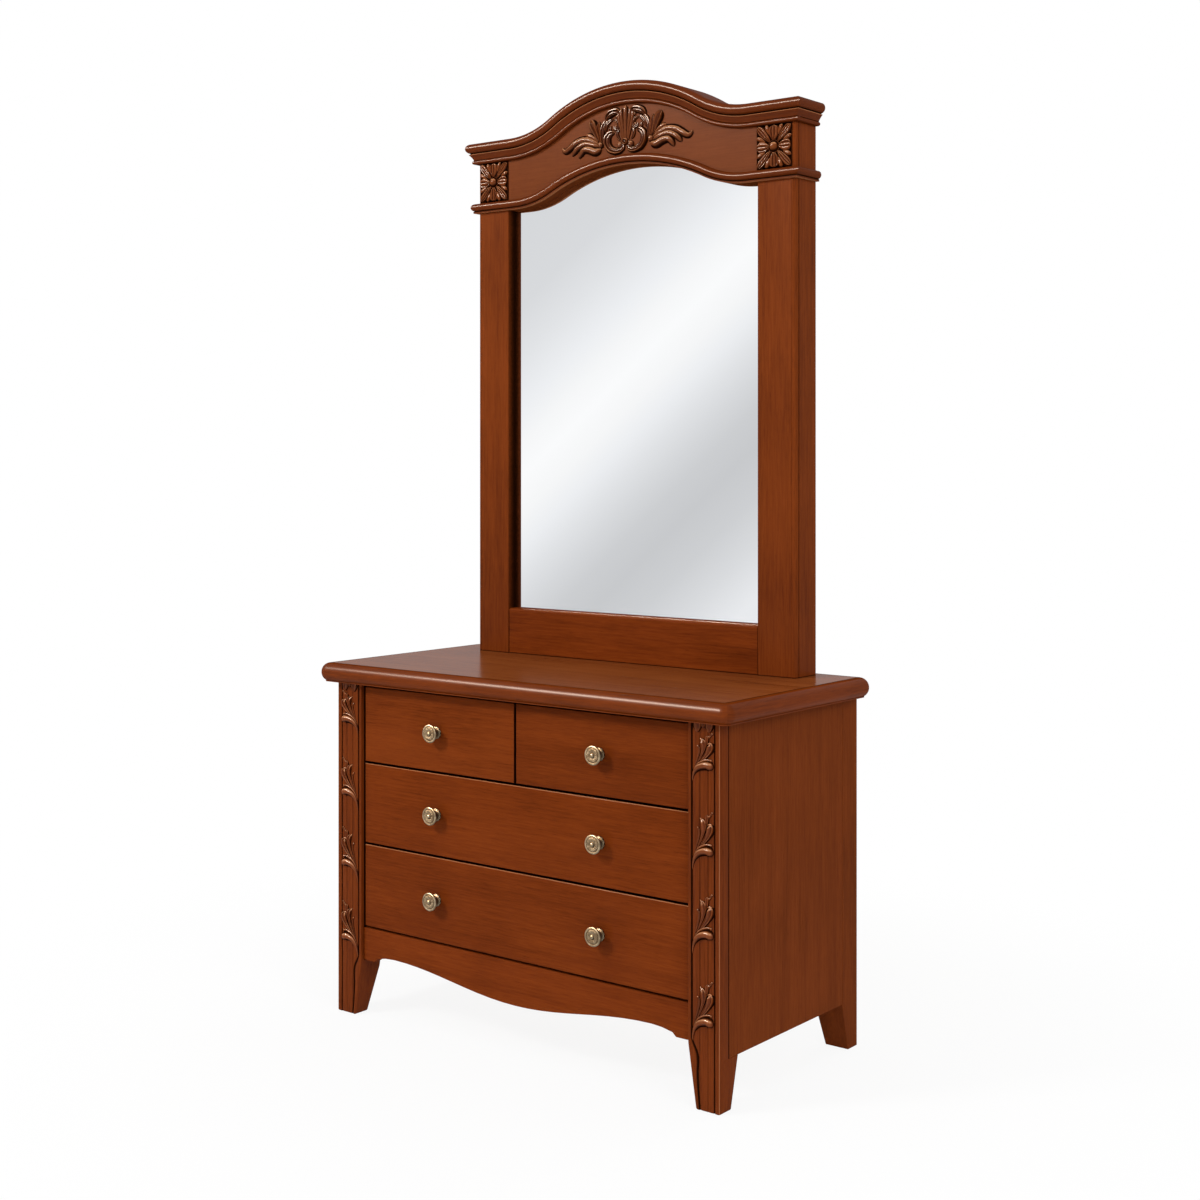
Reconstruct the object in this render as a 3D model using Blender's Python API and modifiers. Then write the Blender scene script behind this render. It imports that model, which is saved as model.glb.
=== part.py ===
"""Dressing table: a chest with two small and two wide drawers, and a tall mirror with an arched crest.

Metres, +Z up. The front faces -Y, and the origin lies on the floor under the middle of the top's outline.
Every sub-part is one named object. Each drawer's pieces hang from an empty at the middle of its front,
so that a drawer slides along -Y.
"""
import math

import bmesh
import bpy
from mathutils import Matrix, Vector

# Fits that every piece shares
fit_gap = 0.0003
overrun = 0.010
merge_distance = 0.00001

# Eased edges of boards that show, and of those inside the drawers
arris = 0.0012
arris_segments = 2
inner_arris = 0.0008
inner_arris_segments = 1
sharp_angle = math.radians(40)

# Chest
body_width = 0.930
body_depth = 0.484
body_height = 0.676
panel_thickness = 0.018
panel_lap = 0.030
panel_bottom_height = 0.091
tongue_thickness = 0.006
tongue_depth = 0.008
back_thickness = 0.006
back_lap = 0.010

# Top board and its bullnose edging
top_thickness = 0.038
top_side_overhang = 0.035
top_front_overhang = 0.026
edging_width = 0.020
edging_corner_radius = 0.022
edging_nose_radius = 0.0185
edging_nose_limit_share = 0.49
edging_corner_segments = 3
edging_nose_segments = 5

# Posts and feet
post_width = 0.066
front_post_depth = 0.058
rear_post_depth = 0.057
foot_width = 0.049
foot_depth = 0.035
foot_taper_height = 0.112
wide_groove = 0.0030
wide_groove_inset = 0.008
fine_groove = 0.0012
reed_width = 0.0160

# Drawer levels: the height of the gap under each row of drawer fronts
bottom_level = 0.181
middle_level = 0.351
upper_level = 0.516
divider_thickness = 0.016
divider_housing = 0.006
partition_thickness = 0.018
partition_housing = 0.005
guide_height = 0.030

# Drawers
front_recess = 0.008
front_thickness = 0.020
front_gap = 0.0035
front_arris = 0.0018
drawer_side_thickness = 0.012
drawer_back_thickness = 0.012
drawer_back_inset = 0.012
drawer_bottom_thickness = 0.006
drawer_bottom_height = 0.010
drawer_bottom_groove = 0.006
drawer_back_housing = 0.005
drawer_front_lap = 0.010
drawer_side_clearance = 0.0010
drawer_headroom = 0.010
drawer_rear_clearance = 0.014

# Apron under the drawers
apron_pad_width = 0.030
apron_pad_height = 0.114
apron_cusp_width = 0.008
apron_cusp_height = 0.121
apron_arch_height = 0.127
apron_arch_place = 0.315
apron_arch_fall_share = 0.25
apron_belly_height = 0.097
apron_steps = 10

# Knobs
knob_place = 0.200
knob_radius = 0.018
knob_length = 0.025
knob_shank_radius = 0.0022
knob_shank_clearance = 0.0003
knob_segments = 20
# The knob's turned section from the middle of its face to its seat: (radius, height) shares of the knob's
# radius and length
knob_profile_shares = (
    (0.19, 0.98), (0.28, 0.92), (0.36, 0.88), (0.62, 0.91), (0.72, 0.87), (0.90, 0.87), (1.00, 0.78),
    (0.97, 0.68), (0.62, 0.52), (0.42, 0.38), (0.42, 0.20), (0.62, 0.12), (0.69, 0.07),
)

# Mirror frame
mirror_width = 0.798
mirror_rear_inset = 0.043
mirror_post_width = 0.085
mirror_post_depth = 0.075
mirror_post_arris = 0.008
mirror_post_arris_segments = 4
mirror_post_height = 1.063
mirror_rail_height = 0.097
mirror_rail_recess = 0.002
mirror_rail_depth = 0.045
mirror_rail_arris = 0.005
mirror_rail_arris_steps = 3
frame_face_thickness = 0.022
glass_lap = 0.011
glass_thickness = 0.005
backboard_thickness = 0.006
tenon_width = 0.036
tenon_depth = 0.040
tenon_length = 0.030

# Arched crest: the bead over the glass and the crown moulding on top
bead_height = 0.021
bead_projection = 0.012
bead_fillet_height = 0.0045
bead_fillet_projection = 0.0075
bead_rise = 0.066
bead_level_length = 0.024
bead_crown_share = 0.66
bead_roll_start = -80
crown_rise = 0.083
crown_level_length = 0.099
crown_crown_share = 0.556
crown_fillet_radius = 0.0032
crown_fillet_projection = 0.0095
crown_ogee_height = 0.0165
crown_ogee_projection = 0.0150
crown_ogee_bend = 1.6
crown_ogee_steps = 3
crown_quirk_depth = 0.0025
crown_quirk_height = 0.0020
crown_roll_radius = 0.0098
crown_roll_start = -70
crown_projection = 0.0210
fillet_steps = 4
roll_steps = 6
arch_steps = 6
rosette_height = 0.086
rosette_thickness = 0.0053
rosette_inset = 0.0015
rosette_button_radius = 0.0105

# Carved ornament on the crest
carving_half_width = 0.165
carving_height = 0.100
carving_top_clearance = 0.0010
carving_relief_share = 0.85
petal_relief_share = 0.5
leaf_bevel_resolution = 1
leaf_steps = 2
ball_segments = 12
ball_rings = 6

# Places that follow from the sizes above
half_width = body_width / 2
top_edge_y = -(body_depth + top_front_overhang) / 2
face_y = top_edge_y + top_front_overhang
rear_y = face_y + body_depth
post_inner_x = half_width - post_width
panel_inner_x = half_width - panel_thickness
front_post_rear_y = face_y + front_post_depth
rear_post_front_y = rear_y - rear_post_depth
panel_front_y = front_post_rear_y - panel_lap
front_y = face_y + front_recess
front_back_y = front_y + front_thickness
back_panel_y = rear_y - back_thickness
top_height = body_height + top_thickness
mirror_half_width = mirror_width / 2
mirror_inner_x = mirror_half_width - mirror_post_width
mirror_rear_y = rear_y - mirror_rear_inset
mirror_face_y = mirror_rear_y - mirror_post_depth
glass_y = mirror_face_y + frame_face_thickness
bead_reach = mirror_inner_x - bead_level_length
crown_reach = mirror_half_width - crown_level_length
crest_base_z = top_height + mirror_post_height
bead_base_z = crest_base_z - rosette_height - bead_height
glass_top_z = bead_base_z + bead_rise + glass_lap

# Finishes: base colour, roughness, metallic
stained_wood = ((0.30, 0.085, 0.025), 0.35, 0.0)
inner_wood = ((0.62, 0.43, 0.25), 0.60, 0.0)
plywood = ((0.50, 0.33, 0.18), 0.70, 0.0)
antique_brass = ((0.56, 0.47, 0.31), 0.35, 1.0)
silvered_glass = ((0.90, 0.92, 0.93), 0.03, 1.0)

# Ornament outlines. Each leaf is a list of (across, up, width) shares, drawn for the right-hand side:
# across counts in carving_half_width from the middle, up in carving_height from the lowest leaf tip,
# and width in carving_height.
palmette_shares = (
    ((0.000, 0.24, 0.05), (0.000, 0.52, 0.07), (0.000, 0.80, 0.10), (0.000, 0.97, 0.08)),
    ((0.018, 0.25, 0.04), (0.040, 0.52, 0.06), (0.060, 0.80, 0.09), (0.052, 0.95, 0.07)),
    ((0.030, 0.26, 0.03), (0.066, 0.50, 0.05), (0.103, 0.78, 0.08), (0.088, 0.91, 0.06)),
)
scroll_shares = (
    ((0.120, 0.84, 0.05), (0.205, 0.87, 0.12), (0.275, 0.81, 0.12), (0.325, 0.70, 0.06)),
    ((0.300, 0.72, 0.05), (0.352, 0.62, 0.08), (0.374, 0.49, 0.09), (0.365, 0.37, 0.08), (0.345, 0.30, 0.05)),
    ((0.215, 0.49, 0.04), (0.272, 0.42, 0.09), (0.285, 0.31, 0.12), (0.250, 0.19, 0.12), (0.180, 0.11, 0.11),
     (0.110, 0.09, 0.09), (0.062, 0.15, 0.08), (0.058, 0.24, 0.06)),
    ((0.165, 0.70, 0.06), (0.115, 0.66, 0.07), (0.092, 0.54, 0.06), (0.070, 0.38, 0.04)),
    ((0.160, 0.60, 0.08), (0.140, 0.56, 0.08), (0.110, 0.57, 0.06)),
    ((0.070, 0.17, 0.06), (0.095, 0.19, 0.08), (0.110, 0.16, 0.06)),
)
wing_shares = (
    ((0.378, 0.33, 0.06), (0.412, 0.46, 0.09), (0.408, 0.60, 0.10), (0.398, 0.74, 0.04)),
    ((0.400, 0.27, 0.06), (0.460, 0.46, 0.12), (0.515, 0.63, 0.15), (0.562, 0.79, 0.02)),
    ((0.410, 0.24, 0.05), (0.510, 0.38, 0.08), (0.560, 0.49, 0.05)),
    ((0.410, 0.22, 0.05), (0.560, 0.36, 0.09), (0.655, 0.46, 0.06)),
    ((0.390, 0.20, 0.06), (0.570, 0.33, 0.11), (0.700, 0.38, 0.12), (0.805, 0.34, 0.12), (0.895, 0.25, 0.11),
     (0.960, 0.23, 0.08), (1.000, 0.30, 0.03)),
    ((0.400, 0.16, 0.06), (0.570, 0.27, 0.09), (0.690, 0.29, 0.10), (0.785, 0.235, 0.09), (0.835, 0.16, 0.07),
     (0.845, 0.09, 0.02)),
    ((0.385, 0.14, 0.07), (0.520, 0.14, 0.12), (0.635, 0.19, 0.12), (0.715, 0.14, 0.10), (0.742, 0.08, 0.07),
     (0.745, 0.01, 0.02)),
)
boss_share = (0.385, 0.24, 0.13)
heart_share = (0.000, 0.24, 0.24)

# Petals of the square rosette: (turn in degrees, root, tip, width), lengths in half the rosette's height,
# and a petal's swelling from its root to its tip: (way along, part of its width)
rosette_petal_shares = (
    (0, 0.16, 0.92, 0.30), (90, 0.16, 0.88, 0.30), (180, 0.16, 0.92, 0.30), (270, 0.16, 0.88, 0.30),
    (42, 0.16, 1.24, 0.26), (138, 0.16, 1.24, 0.26), (222, 0.16, 1.24, 0.26), (318, 0.16, 1.24, 0.26),
)
petal_swell_shares = ((0.0, 0.3), (0.5, 1.0), (0.84, 0.9), (1.0, 0.2))


def new_collection(name):
    collection = bpy.data.collections.new(name)
    bpy.context.scene.collection.children.link(collection)
    return collection


def material(name, finish):
    """A Principled material with the colour, roughness and metallic value of a finish."""
    colour, roughness, metallic = finish
    result = bpy.data.materials.new(name)
    result.use_nodes = True
    shader = result.node_tree.nodes["Principled BSDF"]
    shader.inputs["Base Color"].default_value = (*colour, 1.0)
    shader.inputs["Roughness"].default_value = roughness
    shader.inputs["Metallic"].default_value = metallic
    result.diffuse_color = (*colour, 1.0)
    return result


def place(name, mesh, location, finish, carrier=None):
    """Adds a mesh as the named sub-part, or as a cutter where there is no finish."""
    part = bpy.data.objects.new(name, mesh)
    part.location = location
    if carrier:
        part.parent = carrier
        part.location = Vector(location) - carrier.location
    if finish:
        mesh.materials.append(material(name, finish))
        parts.objects.link(part)
    else:
        part.hide_render = True
        part.display_type = "WIRE"
        cutters.objects.link(part)
    return part


def ease(part, width, segments=arris_segments):
    """Rounds a piece's sharp edges by the given width."""
    bevel = part.modifiers.new("eased edges", "BEVEL")
    bevel.width = width
    bevel.segments = segments
    bevel.limit_method = "ANGLE"
    bevel.angle_limit = sharp_angle
    return part


def combine(part, other, operation):
    """Adds a Boolean that joins, cuts or intersects the part with another object."""
    boolean = part.modifiers.new(operation.lower() + " " + other.name, "BOOLEAN")
    boolean.operation = operation
    boolean.solver = "EXACT"
    boolean.object = other
    return part


def cuboid_mesh(name, spans):
    """A box mesh around its own middle, and that middle, from three (low, high) spans."""
    low = Vector([span[0] for span in spans])
    high = Vector([span[1] for span in spans])
    shape = bmesh.new()
    bmesh.ops.create_cube(shape, size=1)
    bmesh.ops.scale(shape, vec=high - low, verts=shape.verts)
    mesh = bpy.data.meshes.new(name)
    shape.to_mesh(mesh)
    shape.free()
    return mesh, (low + high) / 2


def board(name, spans, finish, carrier=None):
    """A rectangular board between three (low, high) spans."""
    mesh, middle = cuboid_mesh(name, spans)
    return place(name, mesh, middle, finish, carrier)


def grown(spans, gap):
    return [(low - gap, high + gap) for low, high in spans]


def house(part, spans, gap=fit_gap):
    """Cuts the seat of a neighbour with the given spans into the part, with a fitting gap all round."""
    cutter = board("seat in " + part.name, grown(spans, gap), None, carrier=part.parent)
    return combine(part, cutter, "DIFFERENCE")


def curve_solid(name, curve, rotation, location, finish, carrier=None):
    """Turns a curve into a welded mesh object in the curve's place."""
    temporary = bpy.data.objects.new(name + " curve", curve)
    temporary.rotation_euler = rotation
    temporary.location = location
    parts.objects.link(temporary)
    bpy.context.view_layer.update()
    evaluated = temporary.evaluated_get(bpy.context.evaluated_depsgraph_get())
    mesh = bpy.data.meshes.new_from_object(evaluated)
    mesh.transform(temporary.matrix_world)
    welded = bmesh.new()
    welded.from_mesh(mesh)
    bmesh.ops.remove_doubles(welded, verts=welded.verts, dist=merge_distance)
    welded.to_mesh(mesh)
    welded.free()
    mesh.materials.clear()
    bpy.data.objects.remove(temporary)
    return place(name, mesh, (0, 0, 0), finish, carrier)


def cut_out(name, outline, low, high, finish, upright=True):
    """A flat outline as a board: drawn in XZ with its thickness along Y, or in XY with it along Z."""
    curve = bpy.data.curves.new(name, "CURVE")
    curve.dimensions = "2D"
    curve.fill_mode = "BOTH"
    curve.extrude = (high - low) / 2
    spline = curve.splines.new("POLY")
    spline.points.add(len(outline) - 1)
    for point, (across, up) in zip(spline.points, outline):
        point.co = (across, up, 0, 1)
    spline.use_cyclic_u = True
    middle = (low + high) / 2
    if upright:
        return curve_solid(name, curve, (math.radians(90), 0, 0), (0, middle, 0), finish)
    return curve_solid(name, curve, (0, 0, 0), (0, 0, middle), finish)


def arc(centre, radius, start, end, steps):
    """Points on an arc, from the start to the end angle in degrees."""
    angles = [math.radians(start + (end - start) * step / steps) for step in range(steps + 1)]
    return [(centre[0] + radius * math.cos(a), centre[1] + radius * math.sin(a)) for a in angles]


def serpentine(rise, reach, crown_share, steps=arch_steps):
    """Stations (x, z, lean) of an ogee arch from its level end at -reach to the one at +reach.

    Two arcs meet at the same lean: a crown arc that bends down and a foot arc that levels out.
    """
    lean = 2 * math.atan2(rise, reach)
    both_radii = reach / math.sin(lean)
    crown_radius = both_radii * crown_share
    foot_radius = both_radii - crown_radius
    half = []
    for step in range(steps + 1):
        angle = lean * step / steps
        half.append((crown_radius * math.sin(angle), rise - crown_radius * (1 - math.cos(angle)), angle))
    for step in range(steps - 1, -1, -1):
        angle = lean * step / steps
        half.append((reach - foot_radius * math.sin(angle), foot_radius * (1 - math.cos(angle)), angle))
    return [(-x, z, -angle) for x, z, angle in half[:0:-1]] + half


def offset_station(station, height):
    """A point that lies a height above the arch's line at one of its stations, square to it."""
    x, z, lean = station
    return x + height * math.sin(lean), z + height * math.cos(lean)


def taper_foot(shape, axis, wall, floor_wall, height):
    """Slants one wall of an upright from its full size at a height to its floor size."""
    plane = Vector((0, 0, height))
    bmesh.ops.bisect_plane(shape, geom=shape.verts[:] + shape.edges[:] + shape.faces[:],
                           plane_co=plane, plane_no=(0, 0, 1))
    for vertex in shape.verts:
        if vertex.co.z < height - merge_distance and abs(vertex.co[axis] - wall) < merge_distance:
            vertex.co[axis] = wall + (floor_wall - wall) * (height - vertex.co.z) / height


def upright(name, x_span, y_span, taper_y_wall, taper_y_height, finish):
    """A full-height corner post whose inner and hidden walls slant in towards the floor."""
    mesh, middle = cuboid_mesh(name, (x_span, y_span, (0, body_height - fit_gap)))
    mesh.transform(Matrix.Translation(middle))
    side = math.copysign(1, x_span[0] + x_span[1])
    shape = bmesh.new()
    shape.from_mesh(mesh)
    inner_floor_x = side * (half_width - foot_width)
    outer_y = y_span[0] if taper_y_wall == y_span[1] else y_span[1]
    floor_y = outer_y + math.copysign(foot_depth, taper_y_wall - outer_y)
    taper_foot(shape, 0, side * post_inner_x, inner_floor_x, foot_taper_height)
    taper_foot(shape, 1, taper_y_wall, floor_y, taper_y_height)
    shape.to_mesh(mesh)
    shape.free()
    return ease(place(name, mesh, (0, 0, 0), finish), arris)


def groove_front(part, x, width, low, high):
    """Cuts a V groove down a post's face."""
    side = width / math.sqrt(2)
    mesh, middle = cuboid_mesh("groove", ((-side / 2, side / 2), (-side / 2, side / 2), (low, high)))
    cutter = place("groove in " + part.name, mesh, (x, face_y, middle.z), None)
    cutter.rotation_euler.z = math.radians(45)
    combine(part, cutter, "DIFFERENCE")


def make_front_post(name, side):
    """A front corner post: moulded face, tapered foot and a lap for the side panel behind its corner."""
    x_span = sorted((side * post_inner_x, side * half_width))
    post = upright(name, x_span, (face_y, front_post_rear_y), front_post_rear_y, panel_bottom_height,
                   stained_wood)
    lap_spans = (sorted((side * panel_inner_x, side * (half_width + overrun))),
                 (panel_front_y, front_post_rear_y + overrun),
                 (panel_bottom_height, body_height + overrun))
    house(post, lap_spans)
    field_inner = post_inner_x + (post_width - 3 * reed_width) / 2
    groove_front(post, side * (post_inner_x + wide_groove_inset), wide_groove, apron_pad_height,
                 body_height + overrun)
    groove_front(post, side * (half_width - wide_groove_inset), wide_groove, -overrun, body_height + overrun)
    for reed in (1, 2):
        groove_front(post, side * (field_inner + reed * reed_width), fine_groove, -overrun,
                     body_height + overrun)
    return post


def make_rear_post(name, side):
    """A rear corner post, grooved for the side panel's tongue and rebated for the back panel."""
    x_span = sorted((side * post_inner_x, side * half_width))
    post = upright(name, x_span, (rear_post_front_y, rear_y), rear_post_front_y, panel_bottom_height,
                   stained_wood)
    house(post, tongue_spans(side))
    house(post, (sorted((side * (post_inner_x - overrun), side * (post_inner_x + back_lap))),
                 (back_panel_y, rear_y + overrun), (back_panel_low(), body_height + overrun)))
    return post


def tongue_spans(side):
    middle_x = half_width - panel_thickness / 2
    return (sorted((side * (middle_x - tongue_thickness / 2), side * (middle_x + tongue_thickness / 2))),
            (rear_post_front_y - overrun, rear_post_front_y + tongue_depth),
            (panel_bottom_height, body_height - fit_gap))


def make_side_panel(name, side):
    """A side panel that laps the front post, with a tongue for the rear post and dividers' housings."""
    x_span = sorted((side * panel_inner_x, side * half_width))
    panel = board(name, (x_span, (panel_front_y + fit_gap, rear_post_front_y - fit_gap),
                         (panel_bottom_height, body_height - fit_gap)), stained_wood)
    ease(panel, inner_arris)
    tongue = board("tongue of " + name, tongue_spans(side), None)
    combine(panel, tongue, "UNION")
    for level in (bottom_level, middle_level, upper_level):
        house(panel, divider_spans(level))
    return panel


def divider_spans(level):
    reach = panel_inner_x + divider_housing
    return ((-reach, reach), (front_back_y + fit_gap, back_panel_y - fit_gap),
            (level - divider_thickness / 2, level + divider_thickness / 2))


def back_panel_low():
    return bottom_level - divider_thickness / 2


def make_divider(name, level):
    """A full-depth divider between two rows, notched round the four posts and housed in the sides."""
    divider = board(name, divider_spans(level), inner_wood)
    for side in (-1, 1):
        notch_x = sorted((side * post_inner_x, side * (half_width + overrun)))
        tall = (level - divider_thickness, level + divider_thickness)
        house(divider, (notch_x, (face_y - overrun, front_post_rear_y), tall))
        house(divider, (notch_x, (rear_post_front_y, rear_y + overrun), tall))
    return divider


def partition_spans():
    return ((-partition_thickness / 2, partition_thickness / 2),
            (front_back_y + fit_gap, back_panel_y - fit_gap),
            (upper_level + divider_thickness / 2 - partition_housing, body_height - fit_gap))


def make_guide(name, side, level):
    """A strip beside the drawers' run, level with the posts' inner faces."""
    base = level + divider_thickness / 2 + fit_gap
    x_span = sorted((side * post_inner_x, side * (panel_inner_x - fit_gap)))
    return board(name, (x_span, (front_post_rear_y + fit_gap, rear_post_front_y - fit_gap),
                        (base, base + guide_height)), inner_wood)


def apron_outline():
    """The apron's outline: flat pads at the posts, a cusp, a shallow arch and a drop to the belly."""
    end_x = post_inner_x - fit_gap
    pad_x = end_x - apron_pad_width
    cusp_x = pad_x - apron_cusp_width
    top_z = bottom_level - front_gap / 2
    half = []
    for step in range(apron_steps + 1):
        part_way = step / apron_steps
        swing = (1 - math.cos(math.pi * part_way)) / 2
        half.append((apron_arch_place * part_way,
                     apron_belly_height + (apron_arch_height - apron_belly_height) * swing))
    shoulder_fall = (apron_arch_height - apron_cusp_height) * apron_arch_fall_share
    half += [((apron_arch_place + cusp_x) / 2, apron_arch_height - shoulder_fall),
             (cusp_x, apron_cusp_height), (pad_x, apron_pad_height), (end_x, apron_pad_height)]
    left = [(-x, z) for x, z in half[:0:-1]]
    return left + half + [(end_x, top_z), (-end_x, top_z)]


def make_chest():
    for side, word in ((-1, "left"), (1, "right")):
        make_front_post("front_post_" + word, side)
        make_rear_post("rear_post_" + word, side)
        make_side_panel("side_panel_" + word, side)
    for level, word in ((bottom_level, "bottom"), (middle_level, "middle"), (upper_level, "upper")):
        divider = make_divider(word + "_divider", level)
        if level == upper_level:
            house(divider, partition_spans())
        for side, hand in ((-1, "left"), (1, "right")):
            make_guide(word + "_guide_" + hand, side, level)
    board("drawer_partition", partition_spans(), inner_wood)
    back_x = post_inner_x + back_lap
    board("back_panel", ((-back_x, back_x), (back_panel_y, rear_y),
                         (back_panel_low(), body_height - fit_gap)), plywood)
    ease(cut_out("apron", apron_outline(), front_y, front_back_y, stained_wood), arris)


def mitre_outline(corner_x, low_y, high_y, side):
    """The plan of one edging strip's mitred blank, on the side that faces (x, y)."""
    inner_x = corner_x - edging_width
    middle_low = low_y + edging_width
    middle_high = high_y - edging_width
    x, y = side
    out = corner_x + overrun
    extra = edging_width + overrun
    if y:
        outer = low_y - overrun if y < 0 else high_y + overrun
        inner = middle_low if y < 0 else middle_high
        return [(-out, outer), (out, outer), (out - extra, inner), (extra - out, inner)]
    return [(x * out, low_y - overrun), (x * out, high_y + overrun), (x * inner_x, middle_high),
            (x * inner_x, middle_low)]


def make_top():
    """The top board with its mortises, and four mitred strips of full bullnose edging round it."""
    outer_x = half_width + top_side_overhang
    inner_x = outer_x - edging_width - fit_gap
    inner_y = (top_edge_y + edging_width + fit_gap, rear_y - edging_width - fit_gap)
    panel = board("top_panel", ((-inner_x, inner_x), inner_y, (body_height, top_height)), stained_wood)
    ease(panel, inner_arris)
    for side in (-1, 1):
        house(panel, tenon_spans(side))
    for word, side in (("front", (0, -1)), ("back", (0, 1)), ("left", (-1, 0)), ("right", (1, 0))):
        name = "top_edging_" + word
        mesh, middle = cuboid_mesh(name, ((-outer_x, outer_x), (top_edge_y, rear_y),
                                          (body_height, top_height)))
        shape = bmesh.new()
        shape.from_mesh(mesh)
        corners = [edge for edge in shape.edges
                   if abs(edge.verts[0].co.z - edge.verts[1].co.z) > merge_distance]
        bmesh.ops.bevel(shape, geom=corners, offset=edging_corner_radius, segments=edging_corner_segments,
                        affect="EDGES", profile=0.5)
        shape.normal_update()
        rims = [edge for edge in shape.edges if edge.calc_face_angle(0) > sharp_angle]
        nose_radius = min(edging_nose_radius, top_thickness * edging_nose_limit_share)
        bmesh.ops.bevel(shape, geom=rims, offset=nose_radius, segments=edging_nose_segments,
                        affect="EDGES", profile=0.5)
        shape.to_mesh(mesh)
        shape.free()
        strip = place(name, mesh, middle, stained_wood)
        house(strip, ((-inner_x, inner_x), inner_y, (body_height - overrun, top_height + overrun)))
        blank = cut_out("blank of " + name, mitre_outline(outer_x, top_edge_y, rear_y, side),
                        body_height - overrun, top_height + overrun, None, upright=False)
        combine(strip, blank, "INTERSECT")


def tenon_spans(side):
    middle_x = side * (mirror_half_width - mirror_post_width / 2)
    middle_y = mirror_rear_y - mirror_post_depth / 2
    return ((middle_x - tenon_width / 2, middle_x + tenon_width / 2),
            (middle_y - tenon_depth / 2, middle_y + tenon_depth / 2),
            (top_height - tenon_length, top_height + overrun))


def make_mirror_post(name, side):
    """A mirror post with a tenon for the top board and a deep rebate for the glass behind its inner edge."""
    post = board(name, (sorted((side * mirror_inner_x, side * mirror_half_width)),
                        (mirror_face_y, mirror_rear_y), (top_height + fit_gap, crest_base_z)), stained_wood)
    corner = [edge for edge in post.data.edges
              if all(post.data.vertices[v].co.y < 0 and side * post.data.vertices[v].co.x > 0
                     for v in edge.vertices)]
    shape = bmesh.new()
    shape.from_mesh(post.data)
    shape.edges.ensure_lookup_table()
    bmesh.ops.bevel(shape, geom=[shape.edges[edge.index] for edge in corner], offset=mirror_post_arris,
                    segments=mirror_post_arris_segments, affect="EDGES", profile=0.5)
    shape.to_mesh(post.data)
    shape.free()
    rebate_x = sorted((side * (mirror_inner_x - overrun), side * (mirror_inner_x + glass_lap)))
    house(post, (rebate_x, (glass_y, mirror_rear_y + overrun),
                 (top_height - overrun, crest_base_z + overrun)))
    tenon = board("tenon of " + name, tenon_spans(side), None)
    return combine(post, tenon, "UNION")


def make_mirror_rail():
    """The bottom rail, with a rounded top edge and a ledge behind it that carries the glass."""
    end_x = mirror_inner_x - fit_gap
    top_z = top_height + mirror_rail_height
    rail_y = mirror_face_y + mirror_rail_recess
    rear = rail_y + mirror_rail_depth
    outline = [(rail_y, top_height + fit_gap), (rear, top_height + fit_gap), (rear, top_z - glass_lap),
               (glass_y, top_z - glass_lap), (glass_y, top_z)]
    outline += arc((rail_y + mirror_rail_arris, top_z - mirror_rail_arris), mirror_rail_arris, 90, 180,
                   mirror_rail_arris_steps)
    curve = bpy.data.curves.new("mirror_rail", "CURVE")
    curve.dimensions = "2D"
    curve.fill_mode = "BOTH"
    curve.extrude = end_x
    spline = curve.splines.new("POLY")
    spline.points.add(len(outline) - 1)
    for point, (back, up) in zip(spline.points, outline):
        point.co = (back, up, 0, 1)
    spline.use_cyclic_u = True
    return curve_solid("mirror_rail", curve, (math.radians(90), 0, math.radians(90)), (0, 0, 0), stained_wood)


def crest_outline():
    """The crest board between the bead's arch and the crown's underside."""
    end_x = mirror_inner_x - fit_gap
    lower = [(x, bead_base_z + z) for x, z, lean in serpentine(bead_rise, bead_reach, bead_crown_share)]
    upper = [(x, crest_base_z + z) for x, z, lean in serpentine(crown_rise, crown_reach, crown_crown_share)]
    return ([(-end_x, bead_base_z)] + lower + [(end_x, bead_base_z), (end_x, crest_base_z)] + upper[::-1] +
            [(-end_x, crest_base_z)])


def crown_profile():
    """The crown moulding's section as (outward, up): fillet, hollow, quirk and top roll."""
    fillet_centre = (crown_fillet_projection - crown_fillet_radius, crown_fillet_radius)
    points = arc(fillet_centre, crown_fillet_radius, -90, 90, fillet_steps)
    hollow_base = (fillet_centre[0], 2 * crown_fillet_radius)
    hollow_top = hollow_base[1] + crown_ogee_height
    hollow_reach = crown_ogee_projection - hollow_base[0]
    for step in range(1, crown_ogee_steps + 1):
        part_way = step / crown_ogee_steps
        points.append((hollow_base[0] + hollow_reach * part_way ** crown_ogee_bend,
                       hollow_base[1] + crown_ogee_height * part_way))
    quirk = crown_ogee_projection - crown_quirk_depth
    points += [(quirk, hollow_top), (quirk, hollow_top + crown_quirk_height)]
    roll_centre = (crown_projection - crown_roll_radius, hollow_top + crown_quirk_height + crown_roll_radius)
    return points + arc(roll_centre, crown_roll_radius, crown_roll_start, 90, roll_steps)


def bead_profile():
    """The bead's section as (outward, up): a small fillet under a half round."""
    roll_radius = (bead_height - bead_fillet_height) / 2
    centre = (bead_projection - roll_radius, bead_fillet_height + roll_radius)
    return ([(0, 0), (bead_fillet_projection, 0), (bead_fillet_projection, bead_fillet_height)] +
            arc(centre, roll_radius, bead_roll_start, 90, roll_steps) + [(0, bead_height)])


def moulding_runs(profile, stations, base_z, back_y, gap):
    """A mitred moulding's skin: its section at the left return's rear end, each front station and so on."""
    half = mirror_half_width + gap
    front = mirror_face_y - gap
    runs = []
    for side in (-1, 1):
        runs.append([Vector((side * (half + out), back_y, base_z + up)) for out, up in profile])
        runs.append([Vector((side * (half + out), front - out, base_z + up)) for out, up in profile])
    middle = []
    for station in stations:
        section = []
        for out, up in profile:
            x, z = offset_station(station, up)
            section.append(Vector((x, front - out, base_z + z)))
        middle.append(section)
    return runs[:2] + middle + runs[:1:-1]


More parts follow.
